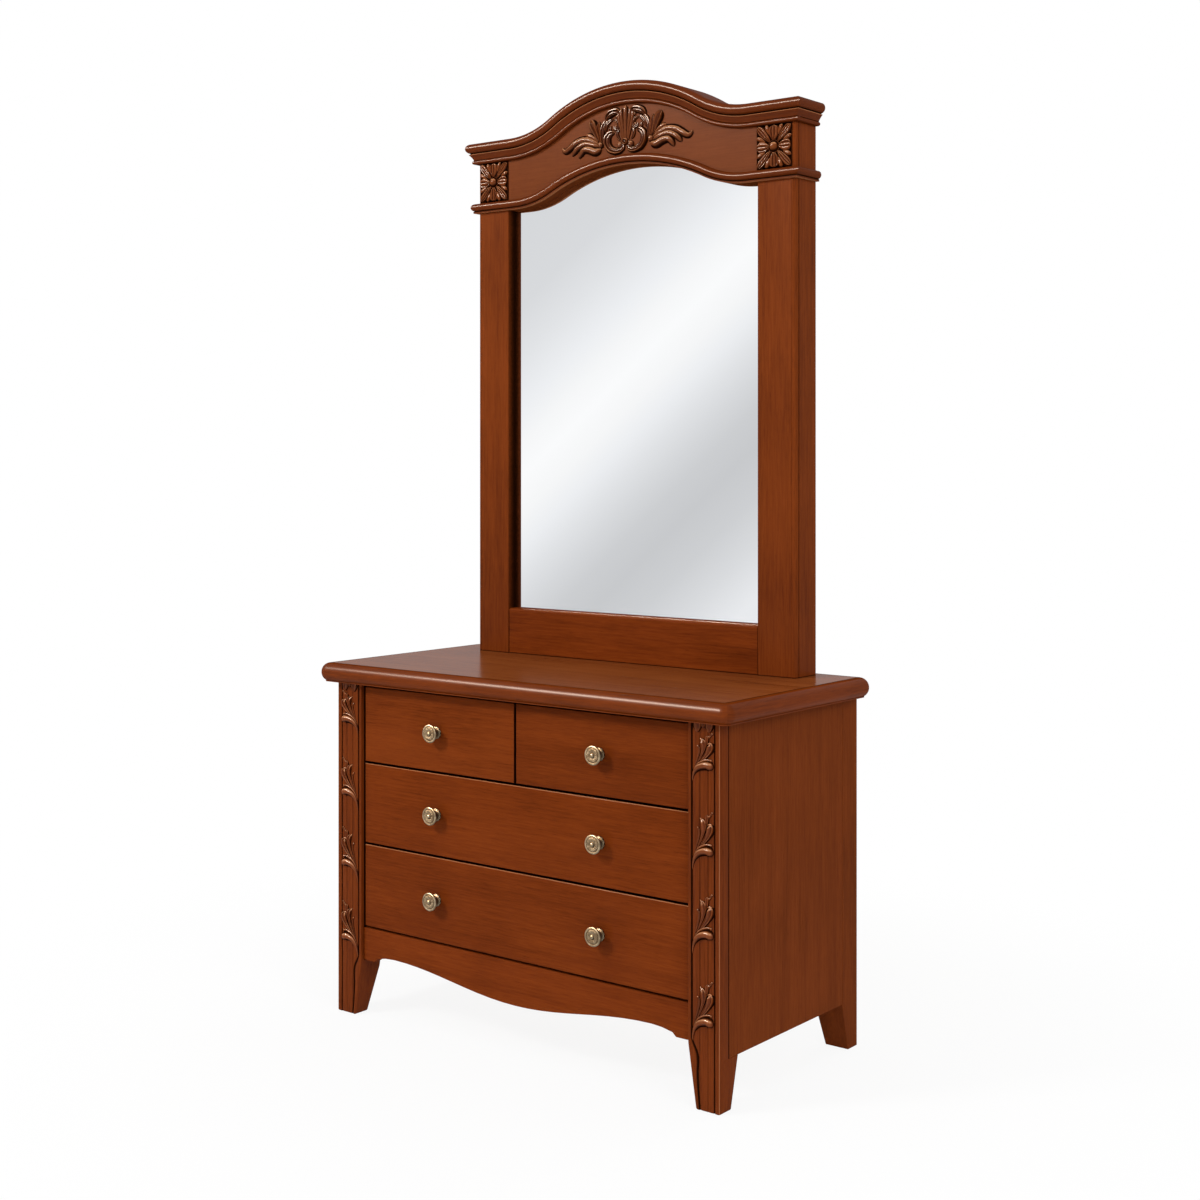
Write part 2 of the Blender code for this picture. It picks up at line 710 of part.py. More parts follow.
def loft(shape, runs, closed):
    """Adds the faces between neighbouring runs of vertices."""
    rows = [[shape.verts.new(point) for point in run] for run in runs]
    for row, after in zip(rows, rows[1:]):
        pairs = list(zip(range(len(row)), range(1, len(row))))
        if closed:
            pairs.append((len(row) - 1, 0))
        for low, high in pairs:
            shape.faces.new((row[low], after[low], after[high], row[high]))
    return rows


def finish_loft(name, shape):
    bmesh.ops.recalc_face_normals(shape, faces=shape.faces)
    mesh = bpy.data.meshes.new(name)
    shape.to_mesh(mesh)
    shape.free()
    mesh.shade_smooth()
    mesh.set_sharp_from_angle(angle=sharp_angle)
    return place(name, mesh, (0, 0, 0), stained_wood)


def make_bead():
    """The bead round the frame: it arches over the glass and returns along the posts' outer sides."""
    stations = serpentine(bead_rise, bead_reach, bead_crown_share)
    shape = bmesh.new()
    runs = moulding_runs(bead_profile(), stations, bead_base_z, mirror_rear_y, fit_gap)
    rows = loft(shape, runs, closed=True)
    shape.faces.new(rows[0])
    shape.faces.new(rows[-1])
    return finish_loft("crest_bead", shape)


def make_crown():
    """The crown: a moulded board over the whole crest, mitred at the front corners, flat at the back."""
    stations = serpentine(crown_rise, crown_reach, crown_crown_share)
    profile = crown_profile()
    base_z = crest_base_z + fit_gap
    shape = bmesh.new()
    rows = loft(shape, moulding_runs(profile, stations, base_z, mirror_rear_y, 0), closed=False)
    inner = rows[2:-2]
    upper_rear = [shape.verts.new((row[-1].co.x, mirror_rear_y, row[-1].co.z)) for row in inner]
    lower_rear = [shape.verts.new((row[0].co.x, mirror_rear_y, row[0].co.z)) for row in inner]
    for end, corner, near in ((rows[0], rows[1], 0), (rows[-1], rows[-2], -1)):
        shape.faces.new((corner[-1], inner[near][-1], upper_rear[near], end[-1]))
        shape.faces.new((corner[0], inner[near][0], lower_rear[near], end[0]))
        shape.faces.new([*end, upper_rear[near], lower_rear[near]])
    for at in range(len(inner) - 1):
        shape.faces.new((inner[at][-1], inner[at + 1][-1], upper_rear[at + 1], upper_rear[at]))
        shape.faces.new((inner[at][0], inner[at + 1][0], lower_rear[at + 1], lower_rear[at]))
        shape.faces.new((upper_rear[at], upper_rear[at + 1], lower_rear[at + 1], lower_rear[at]))
    return finish_loft("crown_moulding", shape)


def smooth_path(points, steps=leaf_steps):
    """Points on a smooth curve through the given ones, each a tuple of numbers."""
    ends = [points[0], *points, points[-1]]
    path = []
    for before, start, end, after in zip(ends, ends[1:], ends[2:], ends[3:]):
        for step in range(steps):
            t = step / steps
            path.append(tuple(0.5 * (2 * b + (c - a) * t + (2 * a - 5 * b + 4 * c - d) * t * t +
                                     (3 * b - a - 3 * c + d) * t ** 3)
                              for a, b, c, d in zip(before, start, end, after)))
    return path + [points[-1]]


def leaf(name, points, plane_y, relief):
    """A carved leaf as a cutter solid: a tapered tube along (x, z, width) points, flattened on a plane."""
    path = smooth_path(points)
    curve = bpy.data.curves.new(name, "CURVE")
    curve.dimensions = "3D"
    curve.bevel_depth = 1
    curve.bevel_resolution = leaf_bevel_resolution
    curve.use_fill_caps = True
    spline = curve.splines.new("POLY")
    spline.points.add(len(path) - 1)
    for point, (x, z, width) in zip(spline.points, path):
        point.co = (x, 0, z, 1)
        point.radius = width / 2
    solid = curve_solid(name, curve, (0, 0, 0), (0, 0, 0), None)
    for vertex in solid.data.vertices:
        vertex.co.y = plane_y + vertex.co.y * relief
    return solid


def ball(name, centre, radius, finish=None):
    """A ball flattened towards the face it is carved on: a sub-part, or a cutter with no finish."""
    shape = bmesh.new()
    bmesh.ops.create_uvsphere(shape, u_segments=ball_segments, v_segments=ball_rings, radius=radius)
    turn = Matrix.Rotation(math.radians(90), 3, "X")
    bmesh.ops.rotate(shape, cent=(0, 0, 0), matrix=turn, verts=shape.verts)
    bmesh.ops.scale(shape, vec=(1, carving_relief_share, 1), verts=shape.verts)
    mesh = bpy.data.meshes.new(name)
    shape.to_mesh(mesh)
    shape.free()
    return place(name, mesh, centre, finish)


def join_all(part, solids):
    """Unites a part with a whole group of solids."""
    group = bpy.data.collections.new("pieces of " + part.name)
    cutters.children.link(group)
    for solid in solids:
        cutters.objects.unlink(solid)
        group.objects.link(solid)
    boolean = part.modifiers.new("union of pieces", "BOOLEAN")
    boolean.operation = "UNION"
    boolean.solver = "EXACT"
    boolean.operand_type = "COLLECTION"
    boolean.collection = group
    boolean.use_self = True
    return part


def make_carving():
    """The applied carving in the middle of the crest: palmette, scrolls and two wings of leaves."""
    plane_y = mirror_face_y - fit_gap
    top_z = crest_base_z + crown_rise - carving_top_clearance
    base_z = top_z - carving_height
    solids = []
    for side in (-1, 1):
        for group in (palmette_shares, scroll_shares, wing_shares):
            for number, shares in enumerate(group):
                if side < 0 and group is palmette_shares and number == 0:
                    continue
                points = [(side * x * carving_half_width, base_z + z * carving_height, w * carving_height)
                          for x, z, w in shares]
                solids.append(leaf("carved leaf", points, plane_y, carving_relief_share))
        x, z, w = boss_share
        solids.append(ball("carved boss", (side * x * carving_half_width, plane_y,
                                           base_z + z * carving_height), w * carving_height / 2))
    x, z, w = heart_share
    heart = ball("crest_carving", (x * carving_half_width, plane_y, base_z + z * carving_height),
                 w * carving_height / 2, stained_wood)
    join_all(heart, solids)
    front_half = board("front half of carving",
                       ((-carving_half_width * 2, carving_half_width * 2),
                        (plane_y - carving_height, plane_y),
                        (base_z - carving_height, top_z + carving_height)), None)
    return combine(heart, front_half, "INTERSECT")


def make_rosette(name, side):
    """A square block on the post's head, carved with a domed button and eight petals."""
    middle_x = side * (mirror_half_width - mirror_post_width / 2)
    middle_z = crest_base_z - rosette_height / 2
    half = mirror_post_width / 2 - rosette_inset
    plane_y = mirror_face_y - fit_gap
    spans = ((middle_x - half, middle_x + half), (plane_y - rosette_thickness, plane_y),
             (middle_z - rosette_height / 2 + fit_gap, middle_z + rosette_height / 2 - fit_gap))
    block = board(name, spans, stained_wood)
    face = plane_y - rosette_thickness
    reach = rosette_height / 2
    solids = []
    for turn, root, tip, width in rosette_petal_shares:
        across = math.sin(math.radians(turn)) * reach
        up = math.cos(math.radians(turn)) * reach
        points = []
        for way, swell in petal_swell_shares:
            along = root + (tip - root) * way
            points.append((middle_x + across * along, middle_z + up * along, width * swell * reach))
        solids.append(leaf("petal", points, face, petal_relief_share))
    solids.append(ball("button", (middle_x, face, middle_z), rosette_button_radius))
    join_all(block, solids)
    seat = board("seat of " + name, (spans[0], (face - rosette_height, plane_y), spans[2]), None)
    return combine(block, seat, "INTERSECT")


def make_mirror():
    for side, word in ((-1, "left"), (1, "right")):
        make_mirror_post("mirror_post_" + word, side)
        make_rosette("rosette_" + word, side)
    make_mirror_rail()
    cut_out("crest_board", crest_outline(), mirror_face_y, glass_y - fit_gap, stained_wood)
    make_bead()
    make_crown()
    make_carving()
    glass_x = mirror_inner_x + glass_lap - fit_gap
    low_z = top_height + mirror_rail_height - glass_lap + fit_gap
    glass_back = glass_y + fit_gap + glass_thickness
    board("mirror_glass", ((-glass_x, glass_x), (glass_y + fit_gap, glass_back), (low_z, glass_top_z)),
          silvered_glass)
    board("mirror_backboard", ((-glass_x, glass_x),
                               (glass_back + fit_gap, glass_back + fit_gap + backboard_thickness),
                               (low_z, glass_top_z)), plywood)


def knob_mesh():
    """A turned knob along +Z from its seat at zero: shank, rose, neck and a domed face with a button."""
    profile = [(0, knob_length)]
    profile += [(knob_radius * across, knob_length * along) for across, along in knob_profile_shares]
    seat_radius = profile[-1][0]
    profile += [(seat_radius, fit_gap), (knob_shank_radius, fit_gap), (knob_shank_radius, -front_thickness),
                (0, -front_thickness)]
    mesh = bpy.data.meshes.new("knob profile")
    mesh.from_pydata([(r, 0, z) for r, z in profile], [(n, n + 1) for n in range(len(profile) - 1)], [])
    return mesh


def make_knob(name, x, z, carrier):
    """A brass knob on a drawer front, facing -Y, and its hole in the front."""
    knob = place(name, knob_mesh(), (x, front_y, z), antique_brass, carrier)
    knob.rotation_euler.x = math.radians(90)
    screw = knob.modifiers.new("turned", "SCREW")
    screw.steps = knob_segments
    screw.render_steps = knob_segments
    screw.use_merge_vertices = True
    screw.merge_threshold = merge_distance
    return knob


def bore(part, x, z, radius):
    """Bores a round hole along Y through a drawer front."""
    shape = bmesh.new()
    bmesh.ops.create_cone(shape, cap_ends=True, segments=knob_segments, radius1=radius, radius2=radius,
                          depth=front_thickness + 2 * overrun)
    mesh = bpy.data.meshes.new("bore")
    shape.to_mesh(mesh)
    shape.free()
    cutter = place("bore in " + part.name, mesh, (x, (front_y + front_back_y) / 2, z), None, part.parent)
    cutter.rotation_euler.x = math.radians(90)
    combine(part, cutter, "DIFFERENCE")


def make_drawer(name, front_x, box_x, level, ceiling, knobs):
    """One drawer: front, two sides, back and bottom, housed into each other, with its knobs."""
    floor = level + divider_thickness / 2 + fit_gap
    top = ceiling - drawer_headroom
    front_z = (level + front_gap / 2, ceiling - front_gap / 2 + divider_thickness / 2)
    if ceiling == body_height:
        front_z = (level + front_gap / 2, body_height - front_gap)
    slide = bpy.data.objects.new(name + "_slide", None)
    slide.location = ((front_x[0] + front_x[1]) / 2, front_y, (front_z[0] + front_z[1]) / 2)
    parts.objects.link(slide)
    rear = back_panel_y - drawer_rear_clearance
    left, right = box_x
    side_y = (front_back_y - drawer_front_lap, rear)
    left_spans = ((left, left + drawer_side_thickness), side_y, (floor, top))
    right_spans = ((right - drawer_side_thickness, right), side_y, (floor, top))
    bottom_z = (floor + drawer_bottom_height, floor + drawer_bottom_height + drawer_bottom_thickness)
    inner = (left + drawer_side_thickness, right - drawer_side_thickness)
    bottom_spans = ((inner[0] - drawer_bottom_groove, inner[1] + drawer_bottom_groove),
                    (front_back_y - drawer_bottom_groove, rear), bottom_z)
    back_spans = ((inner[0] - drawer_back_housing, inner[1] + drawer_back_housing),
                  (rear - drawer_back_inset - drawer_back_thickness, rear - drawer_back_inset),
                  (bottom_z[1] + fit_gap, top))
    front = board(name + "_front", (front_x, (front_y, front_back_y), front_z), stained_wood, carrier=slide)
    ease(front, front_arris)
    for spans in (left_spans, right_spans):
        house(front, (spans[0], (spans[1][0], spans[1][0] + drawer_front_lap + overrun), spans[2]))
    house(front, (bottom_spans[0], (bottom_spans[1][0], front_back_y + overrun), bottom_z))
    for hand, spans in (("left", left_spans), ("right", right_spans)):
        side = board(name + "_side_" + hand, spans, inner_wood, carrier=slide)
        ease(side, inner_arris, inner_arris_segments)
        house(side, (bottom_spans[0], (side_y[0] - overrun, rear + overrun), bottom_z))
        house(side, (back_spans[0], back_spans[1], (bottom_z[0], top + overrun)))
    ease(board(name + "_back", back_spans, inner_wood, carrier=slide), inner_arris, inner_arris_segments)
    board(name + "_bottom", bottom_spans, plywood, carrier=slide)
    for word, x in knobs:
        z = slide.location.z
        bore(front, x, z, knob_shank_radius + knob_shank_clearance)
        make_knob(name + "_knob" + word, x, z, slide)


def make_drawers():
    outer = post_inner_x - front_gap
    run = post_inner_x - drawer_side_clearance
    middle_run = partition_thickness / 2 + drawer_side_clearance
    half_divider = divider_thickness / 2
    make_drawer("small_drawer_left", (-outer, -front_gap / 2), (-run, -middle_run), upper_level, body_height,
                [("", -knob_place)])
    make_drawer("small_drawer_right", (front_gap / 2, outer), (middle_run, run), upper_level, body_height,
                [("", knob_place)])
    pair = [("_left", -knob_place), ("_right", knob_place)]
    make_drawer("middle_drawer", (-outer, outer), (-run, run), middle_level,
                upper_level - half_divider, pair)
    make_drawer("bottom_drawer", (-outer, outer), (-run, run), bottom_level,
                middle_level - half_divider, pair)


for old in list(bpy.data.objects):
    bpy.data.objects.remove(old)
parts = new_collection("dressing_table")
cutters = new_collection("cutters")
make_chest()
make_top()
make_mirror()
make_drawers()
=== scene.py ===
"""Looks of the dressing table: stained hardwood, carving, brass knobs and the mirror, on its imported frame.

Metres, +Z up, the front faces -Y.
"""
import math

import bmesh
import bpy
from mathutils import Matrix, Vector


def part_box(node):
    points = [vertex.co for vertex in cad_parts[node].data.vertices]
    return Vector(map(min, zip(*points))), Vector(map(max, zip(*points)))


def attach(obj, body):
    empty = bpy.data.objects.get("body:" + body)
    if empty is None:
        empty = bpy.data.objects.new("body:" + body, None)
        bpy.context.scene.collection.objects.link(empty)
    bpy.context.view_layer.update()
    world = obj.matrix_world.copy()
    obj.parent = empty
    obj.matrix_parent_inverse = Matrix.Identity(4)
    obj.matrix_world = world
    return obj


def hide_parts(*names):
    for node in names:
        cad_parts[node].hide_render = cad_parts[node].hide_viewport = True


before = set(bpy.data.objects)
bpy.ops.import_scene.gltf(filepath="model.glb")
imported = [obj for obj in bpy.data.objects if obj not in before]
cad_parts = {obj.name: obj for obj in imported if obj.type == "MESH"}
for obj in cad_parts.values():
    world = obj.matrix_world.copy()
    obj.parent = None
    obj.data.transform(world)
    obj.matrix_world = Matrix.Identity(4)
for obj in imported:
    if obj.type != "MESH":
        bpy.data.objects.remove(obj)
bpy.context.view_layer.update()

# The camera, where the photograph was taken from
camera_place = (2.1545, -2.8289, 1.1346)
camera_turn = 39.65
camera_lens = 53.57
camera_shift = (0.0733, -0.1182)

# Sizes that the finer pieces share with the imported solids
fit_gap = 0.0003
body_half_width = 0.465
body_height = 0.676
face_y = -0.229
rear_y = 0.255
top_edge_y = -0.255
top_thickness = 0.038
top_half_width = 0.500
post_width = 0.066
front_post_depth = 0.058
panel_thickness = 0.018
panel_lap = 0.030
edging_width = 0.020
edging_corner_radius = 0.022
edging_nose_radius = 0.0185
foot_width = 0.049
foot_depth = 0.035
foot_taper_height = 0.112
panel_bottom_height = 0.091
mirror_half_width = 0.399
mirror_inner_x = 0.314
mirror_face_y = 0.137
mirror_rear_y = 0.212
glass_y = 0.159
glass_lap = 0.011
top_height = 0.714
rail_top_z = 0.811
crest_base_z = 1.777
bead_base_z = 1.670
rosette_height = 0.086
knob_radius = 0.018
knob_length = 0.025
drawer_front_y = -0.221

# Sizes of the finer pieces alone; an arch is its rise, its reach and its crown's share of both bends
edging_seam = 0.021
crown_arch = (0.083, 0.300, 0.556)
bead_arch = (0.066, 0.290, 0.66)
arch_steps = 22
quirk_depth = 0.0022
rosette_inset = 0.0078
rosette_block_thickness = 0.0020
front_rounding = 0.0034
top_row_easing = 0.0022
top_row_level = 0.6
floor_radius = 2.4


def tone(red, green, blue):
    """An opaque linear colour from its 0 to 255 screen values."""
    return tuple(((c / 255 + 0.055) / 1.055) ** 2.4 if c > 10 else c / 255 / 12.92
                 for c in (red, green, blue)) + (1.0,)


class Field:
    """A node's output in a material or world: operators add Math nodes, and node() adds any other node."""

    def __init__(self, tree, socket=None):
        self.tree = tree
        self.socket = socket

    def node(self, kind, values=None, output=0, stops=None, **settings):
        made = self.tree.nodes.new(kind)
        for name, setting in settings.items():
            setattr(made, name, setting)
        if stops:
            while len(made.color_ramp.elements) < len(stops):
                made.color_ramp.elements.new(0.5)
            for element, (position, colour) in zip(made.color_ramp.elements, stops):
                element.position = position
                element.color = colour
        for key, value in (values or {}).items():
            if isinstance(value, Field):
                self.tree.links.new(value.socket, made.inputs[key])
            else:
                made.inputs[key].default_value = value
        return Field(self.tree, made.outputs[output])

    def maths(self, operation, first, second):
        return self.node("ShaderNodeMath", {0: first, 1: second}, operation=operation)

    def __add__(self, other):
        return self.maths("ADD", self, other)

    __radd__ = __add__

    def __mul__(self, other):
        return self.maths("MULTIPLY", self, other)

    __rmul__ = __mul__

    def __sub__(self, other):
        return self.maths("SUBTRACT", self, other)

    def __rsub__(self, other):
        return self.maths("SUBTRACT", other, self)

    def __truediv__(self, other):
        return self.maths("DIVIDE", self, other)

    def over(self, low, high):
        """0 below the low value, 1 above the high one and a smooth rise between."""
        return self.node("ShaderNodeMapRange", {"Value": self, "From Min": low, "From Max": high},
                         interpolation_type="SMOOTHSTEP")

    def mixed(self, first, second):
        """Two colours mixed by this value: 0 gives the first and 1 the second."""
        return self.node("ShaderNodeMix", {0: self, 6: first, 7: second}, output=2, data_type="RGBA")


def new_material(name, **constants):
    """A Principled material: its starting field, its shader and the constants on the shader's sockets."""
    material = bpy.data.materials.new(name)
    material.use_nodes = True
    shader = material.node_tree.nodes["Principled BSDF"]
    for socket, value in constants.items():
        shader.inputs[socket.replace("_", " ")].default_value = value
    return material, Field(material.node_tree), shader


def feed(field, shader, socket):
    field.tree.links.new(field.socket, shader.inputs[socket])


def grain_place(start, along, shift, place):
    """Coordinates stretched along the grain: X, Y or Z of the object, or the first of its grain places."""
    if place:
        source = start.node("ShaderNodeAttribute", output="Vector", attribute_name=place)
    else:
        source = start.node("ShaderNodeTexCoord", output="Object")
    scale = [1.0, 1.0, 1.0]
    scale["XYZ".index(along)] = 0.045
    return source, source.node("ShaderNodeMapping", {"Vector": source, "Location": shift, "Scale": scale})


def noise(place, scale, detail=3.0, roughness=0.55, distortion=0.0):
    return place.node("ShaderNodeTexNoise", {"Vector": place, "Scale": scale, "Detail": detail,
                                             "Roughness": roughness, "Distortion": distortion})


white = tone(255, 255, 255)
# Tones of the stained wood, beside the three of its grain, and of its painted highlights and painted shade
pore_tone = tone(52, 18, 4)
rubbed_highlight_tone = tone(150, 82, 40)
upper_face_highlight_tone = tone(206, 144, 100)
arris_highlight_tone = tone(190, 124, 82)
undercut_shade_tone = tone(24, 9, 3)
underside_shade_tone = tone(30, 10, 3)
glaze_and_shade_tone = tone(20, 7, 2)
seam_tone = tone(30, 11, 3)
front_edge_shade_tone = tone(34, 12, 4)


def wood(name, along, shift, place=None, dark=(88, 35, 9), middle=(114, 49, 14), light=(130, 59, 19),
         lacquer=0.05, blur=0.20, seams=(), glazed_and_shaded=False, carved=False):
    """Stained hardwood under lacquer, its grain along one axis, with dark seams at places along others.

    One with glazing and shade, or a carved one, is by its relief dark and dull in its hollows, partly dark
    glazing and partly painted shade, and has a painted highlight on its arrises; a carved one is also worn
    pale, with painted highlights, on its raised parts and faces turned up, and has painted shade on faces
    turned down. Every one has painted shade on its undersides.
    """
    material, start, shader = new_material(name, Specular_IOR_Level=0.0, Coat_Roughness=blur)
    source, grain = grain_place(start, along, shift, place)
    bands = noise(grain, 30.0, 2.0, 0.5, 0.4)
    streaks = noise(grain, 240.0, 3.0, 0.6)
    fibres = noise(grain, 800.0, 2.0, 0.5)
    pores = noise(grain, 1300.0, 1.0, 0.4).over(0.62, 0.74)
    cloud = noise(source, 5.0, 1.0)
    shade = bands * 0.22 + streaks * 0.36 + fibres * 0.22 + cloud * 0.20
    colour = shade.node("ShaderNodeValToRGB", {"Fac": shade}, stops=(
        (0.34, tone(*dark)), (0.51, tone(*middle)), (0.68, tone(*light))))
    colour = (pores * 0.32).mixed(colour, pore_tone)
    height = streaks * 0.45 + fibres * 0.35 - pores * 0.55
    rough = 0.42 + streaks * 0.08 + pores * 0.20
    facing = start.node("ShaderNodeNewGeometry", output="Normal")
    facing = start.node("ShaderNodeSeparateXYZ", {"Vector": facing}, output="Z")
    below = 1.0 - facing.over(-0.98, -0.60)
    polish = lacquer * (1.0 - below)
    if glazed_and_shaded or carved:
        relief = start.node("ShaderNodeAttribute", output="Fac", attribute_name="relief")
        worn = noise(source, 160.0, 2.0)
        if carved:
            # Raised relief is paled partly as wear and partly as a painted highlight
            rubbed_and_highlit = (relief + worn * 0.30 - 0.15).over(0.78, 1.0)
            # Painted highlight on raised carved faces turned upwards
            upper_face_highlight = facing.over(0.15, 0.70) * relief.over(0.50, 0.85)
            colour = (rubbed_and_highlit * 0.30).mixed(colour, rubbed_highlight_tone)
            colour = (upper_face_highlight * 0.70).mixed(colour, upper_face_highlight_tone)
            # Painted shade on carved faces turned downwards
            colour = (facing.over(-0.20, -0.85) * 0.60).mixed(colour, undercut_shade_tone)
        # Painted highlight on arrises whose relief is above 1
        colour = (relief.over(1.1, 1.7) * 0.70).mixed(colour, arris_highlight_tone)
        # Hollows, gaps and skirts of low relief are darkened, partly as dark glazing and partly as painted
        # shade
        glaze_and_shade = 1.0 - (relief + worn * 0.20 - 0.10).over(0.05, 0.70)
        colour = (glaze_and_shade * 0.94).mixed(colour, glaze_and_shade_tone)
        rough = rough + glaze_and_shade * 0.30
        polish = polish * (1.0 - glaze_and_shade) * (1.0 - facing.over(0.88, 0.96) * 0.95)
    # Painted shade on faces turned downwards
    colour = (below * 0.25).mixed(colour, underside_shade_tone)
    for axis, at in seams:
        spot = start.node("ShaderNodeTexCoord", output="Object")
        spot = start.node("ShaderNodeSeparateXYZ", {"Vector": spot}, output=axis) - at
        spot = start.node("ShaderNodeMath", {0: spot}, operation="ABSOLUTE")
        clear = spot.over(0.0007, 0.0016)
        colour = (0.85 - clear * 0.85).mixed(colour, seam_tone)
        polish = polish * clear
    feed(polish, shader, "Coat Weight")
    feed(colour, shader, "Base Color")
    feed(rough, shader, "Roughness")
    bump = height.node("ShaderNodeBump", {"Height": height, "Strength": 0.18, "Distance": 0.0005})
    feed(bump, shader, "Normal")
    return material


def plain_wood(name, along, colours, rings, stained_edge=None):
    """Unstained wood or plywood, pale with darker growth bands; the front edge may be stained and painted
    dark, as shade in the gaps.
    """
    material, start, shader = new_material(name, Specular_IOR_Level=0.25)
    source, grain = grain_place(start, along, (0.3, 0.1, 0.2), None)
    bands = noise(grain, rings, 3.0, 0.55, 1.2)
    fibres = noise(grain, 620.0, 3.0, 0.6)
    shade = bands * 0.62 + fibres * 0.34
    colour = shade.node("ShaderNodeValToRGB", {"Fac": shade}, stops=(
        (0.30, tone(*colours[0])), (0.52, tone(*colours[1])), (0.72, tone(*colours[2]))))
    flecks = noise(grain, 1300.0, 1.0).over(0.64, 0.74)
    colour = (flecks * 0.30).mixed(colour, tone(*colours[0]))
    # The front edge is stained and painted near black, as shade in the gaps between the drawers
    if stained_edge:
        back = start.node("ShaderNodeSeparateXYZ", {"Vector": source}, output="Y")
        colour = back.over(*stained_edge).mixed(front_edge_shade_tone, colour)
    feed(colour, shader, "Base Color")
    feed(0.52 + fibres * 0.20, shader, "Roughness")
    bump = fibres.node("ShaderNodeBump", {"Height": fibres, "Strength": 0.25, "Distance": 0.0005})
    feed(bump, shader, "Normal")
    return material


def aged_brass():
    """Antique brass with darker patina in the engraved ring and round the button."""
    material, start, shader = new_material("antique_brass", Metallic=1.0)
    turned = start.node("ShaderNodeAttribute", output="Vector", attribute_name="grain")
    relief = start.node("ShaderNodeAttribute", output="Fac", attribute_name="relief")
    place = start.node("ShaderNodeTexCoord", output="Object")
    around = start.node("ShaderNodeSeparateXYZ", {"Vector": turned}, output="X")
    out = start.node("ShaderNodeSeparateXYZ", {"Vector": turned}, output="Y")
    patina = noise(place, 130.0, 3.0, 0.6)
    ring = out.over(0.31, 0.37) * (1.0 - out.over(0.74, 0.80))
    fans = start.node("ShaderNodeMath", {0: around * 10.0}, operation="COSINE")
    rows = start.node("ShaderNodeMath", {0: out * 46.0 + fans * 2.4}, operation="SINE")
    cuts = ring * rows.over(0.1, 0.8)
    dirt = (1.0 - relief).over(0.20, 0.75) * 0.85 + cuts * 0.90
    colour = patina.over(0.35, 0.70).mixed(tone(124, 109, 86), tone(158, 144, 120))
    feed(dirt.mixed(colour, tone(58, 40, 24)), shader, "Base Color")
    feed(0.32 + patina * 0.18 + dirt * 0.20, shader, "Roughness")
    height = patina * 0.15 - cuts
    bump = height.node("ShaderNodeBump", {"Height": height, "Strength": 0.5, "Distance": 0.0004})
    feed(bump, shader, "Normal")
    return material


def silvered():
    """Mirror glass with a painted highlight along its foot, just above the rail, and a breath of haze."""
    material, start, shader = new_material("mirror_glass", Metallic=1.0)
    place = start.node("ShaderNodeTexCoord", output="Object")
    haze = noise(place, 6.0, 3.0)
    height = start.node("ShaderNodeSeparateXYZ", {"Vector": place}, output="Z")
    # Painted highlight: the glass is whiter along its foot
    foot = 1.0 - height.over(rail_top_z + 0.0005, rail_top_z + 0.0025)
    feed((foot * 0.6).mixed(tone(250, 251, 252), white), shader, "Base Color")
    feed(haze * 0.02, shader, "Roughness")
    return material


def new_shape():
    """An empty bmesh whose points carry their place along and round the grain, and their relief.

    Relief is 0 or less in a hollow, which is painted dark, partly dark glazing and partly painted shade, 1 on
    a surface and up to 2 on an arris that carries a painted highlight.
    """
    shape = bmesh.new()
    shape.verts.layers.float_vector.new("grain")
    shape.verts.layers.float.new("relief")
    return shape


def sweep(shape, sections, reliefs, shift=0.0):
    """Extrudes a closed section through each of its places and notes the relief and the shifted grain."""
    grain = shape.verts.layers.float_vector["grain"]
    relief = shape.verts.layers.float["relief"]
    along = 0.0
    before = None
    end = shape.faces.new([shape.verts.new(point) for point in sections[0]])
    for section in sections:
        middle = sum(section, Vector()) / len(section)
        if before:
            along += (middle - before).length
            made = bmesh.ops.extrude_face_region(shape, geom=[end])["geom"]
            end = next(item for item in made if isinstance(item, bmesh.types.BMFace))
        before = middle
        around = shift
        for number, (vertex, point) in enumerate(zip(end.verts, section)):
            vertex.co = point
            vertex[grain] = (along, around, shift)
            vertex[relief] = reliefs[number]
            around += (section[(number + 1) % len(section)] - point).length


def finished(name, shape, material, body, stands_for=(), smooth=38):
    """Makes a shape a named piece of a material, which rides on a body and hides the solids it stands for."""
    bmesh.ops.remove_doubles(shape, verts=shape.verts, dist=0.00001)
    bmesh.ops.recalc_face_normals(shape, faces=shape.faces)
    mesh = bpy.data.meshes.new(name)
    shape.to_mesh(mesh)
    shape.free()
    mesh.shade_smooth()
    mesh.set_sharp_from_angle(angle=math.radians(smooth))
    mesh.materials.append(material)
    piece = bpy.data.objects.new(name, mesh)
    bpy.context.scene.collection.objects.link(piece)
    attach(piece, body)
    if stands_for:
        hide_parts(*stands_for)


def arc(centre, radius, start, end, steps):
    """Points on an arc between two directions in degrees."""
    angles = [math.radians(start + (end - start) * step / steps) for step in range(steps + 1)]
    return [(centre[0] + radius * math.cos(a), centre[1] + radius * math.sin(a)) for a in angles]


def smooth_path(points, steps):
    """Points on a smooth curve through the given ones."""
    ends = [points[0], *points, points[-1]]
    path = []
    for before, start, end, after in zip(ends, ends[1:], ends[2:], ends[3:]):
        for step in range(steps):
            t = step / steps
            path.append(tuple(0.5 * (2 * b + (c - a) * t + (2 * a - 5 * b + 4 * c - d) * t * t +
                                     (3 * b - a - 3 * c + d) * t ** 3)
                              for a, b, c, d in zip(before, start, end, after)))
    return path + [points[-1]]


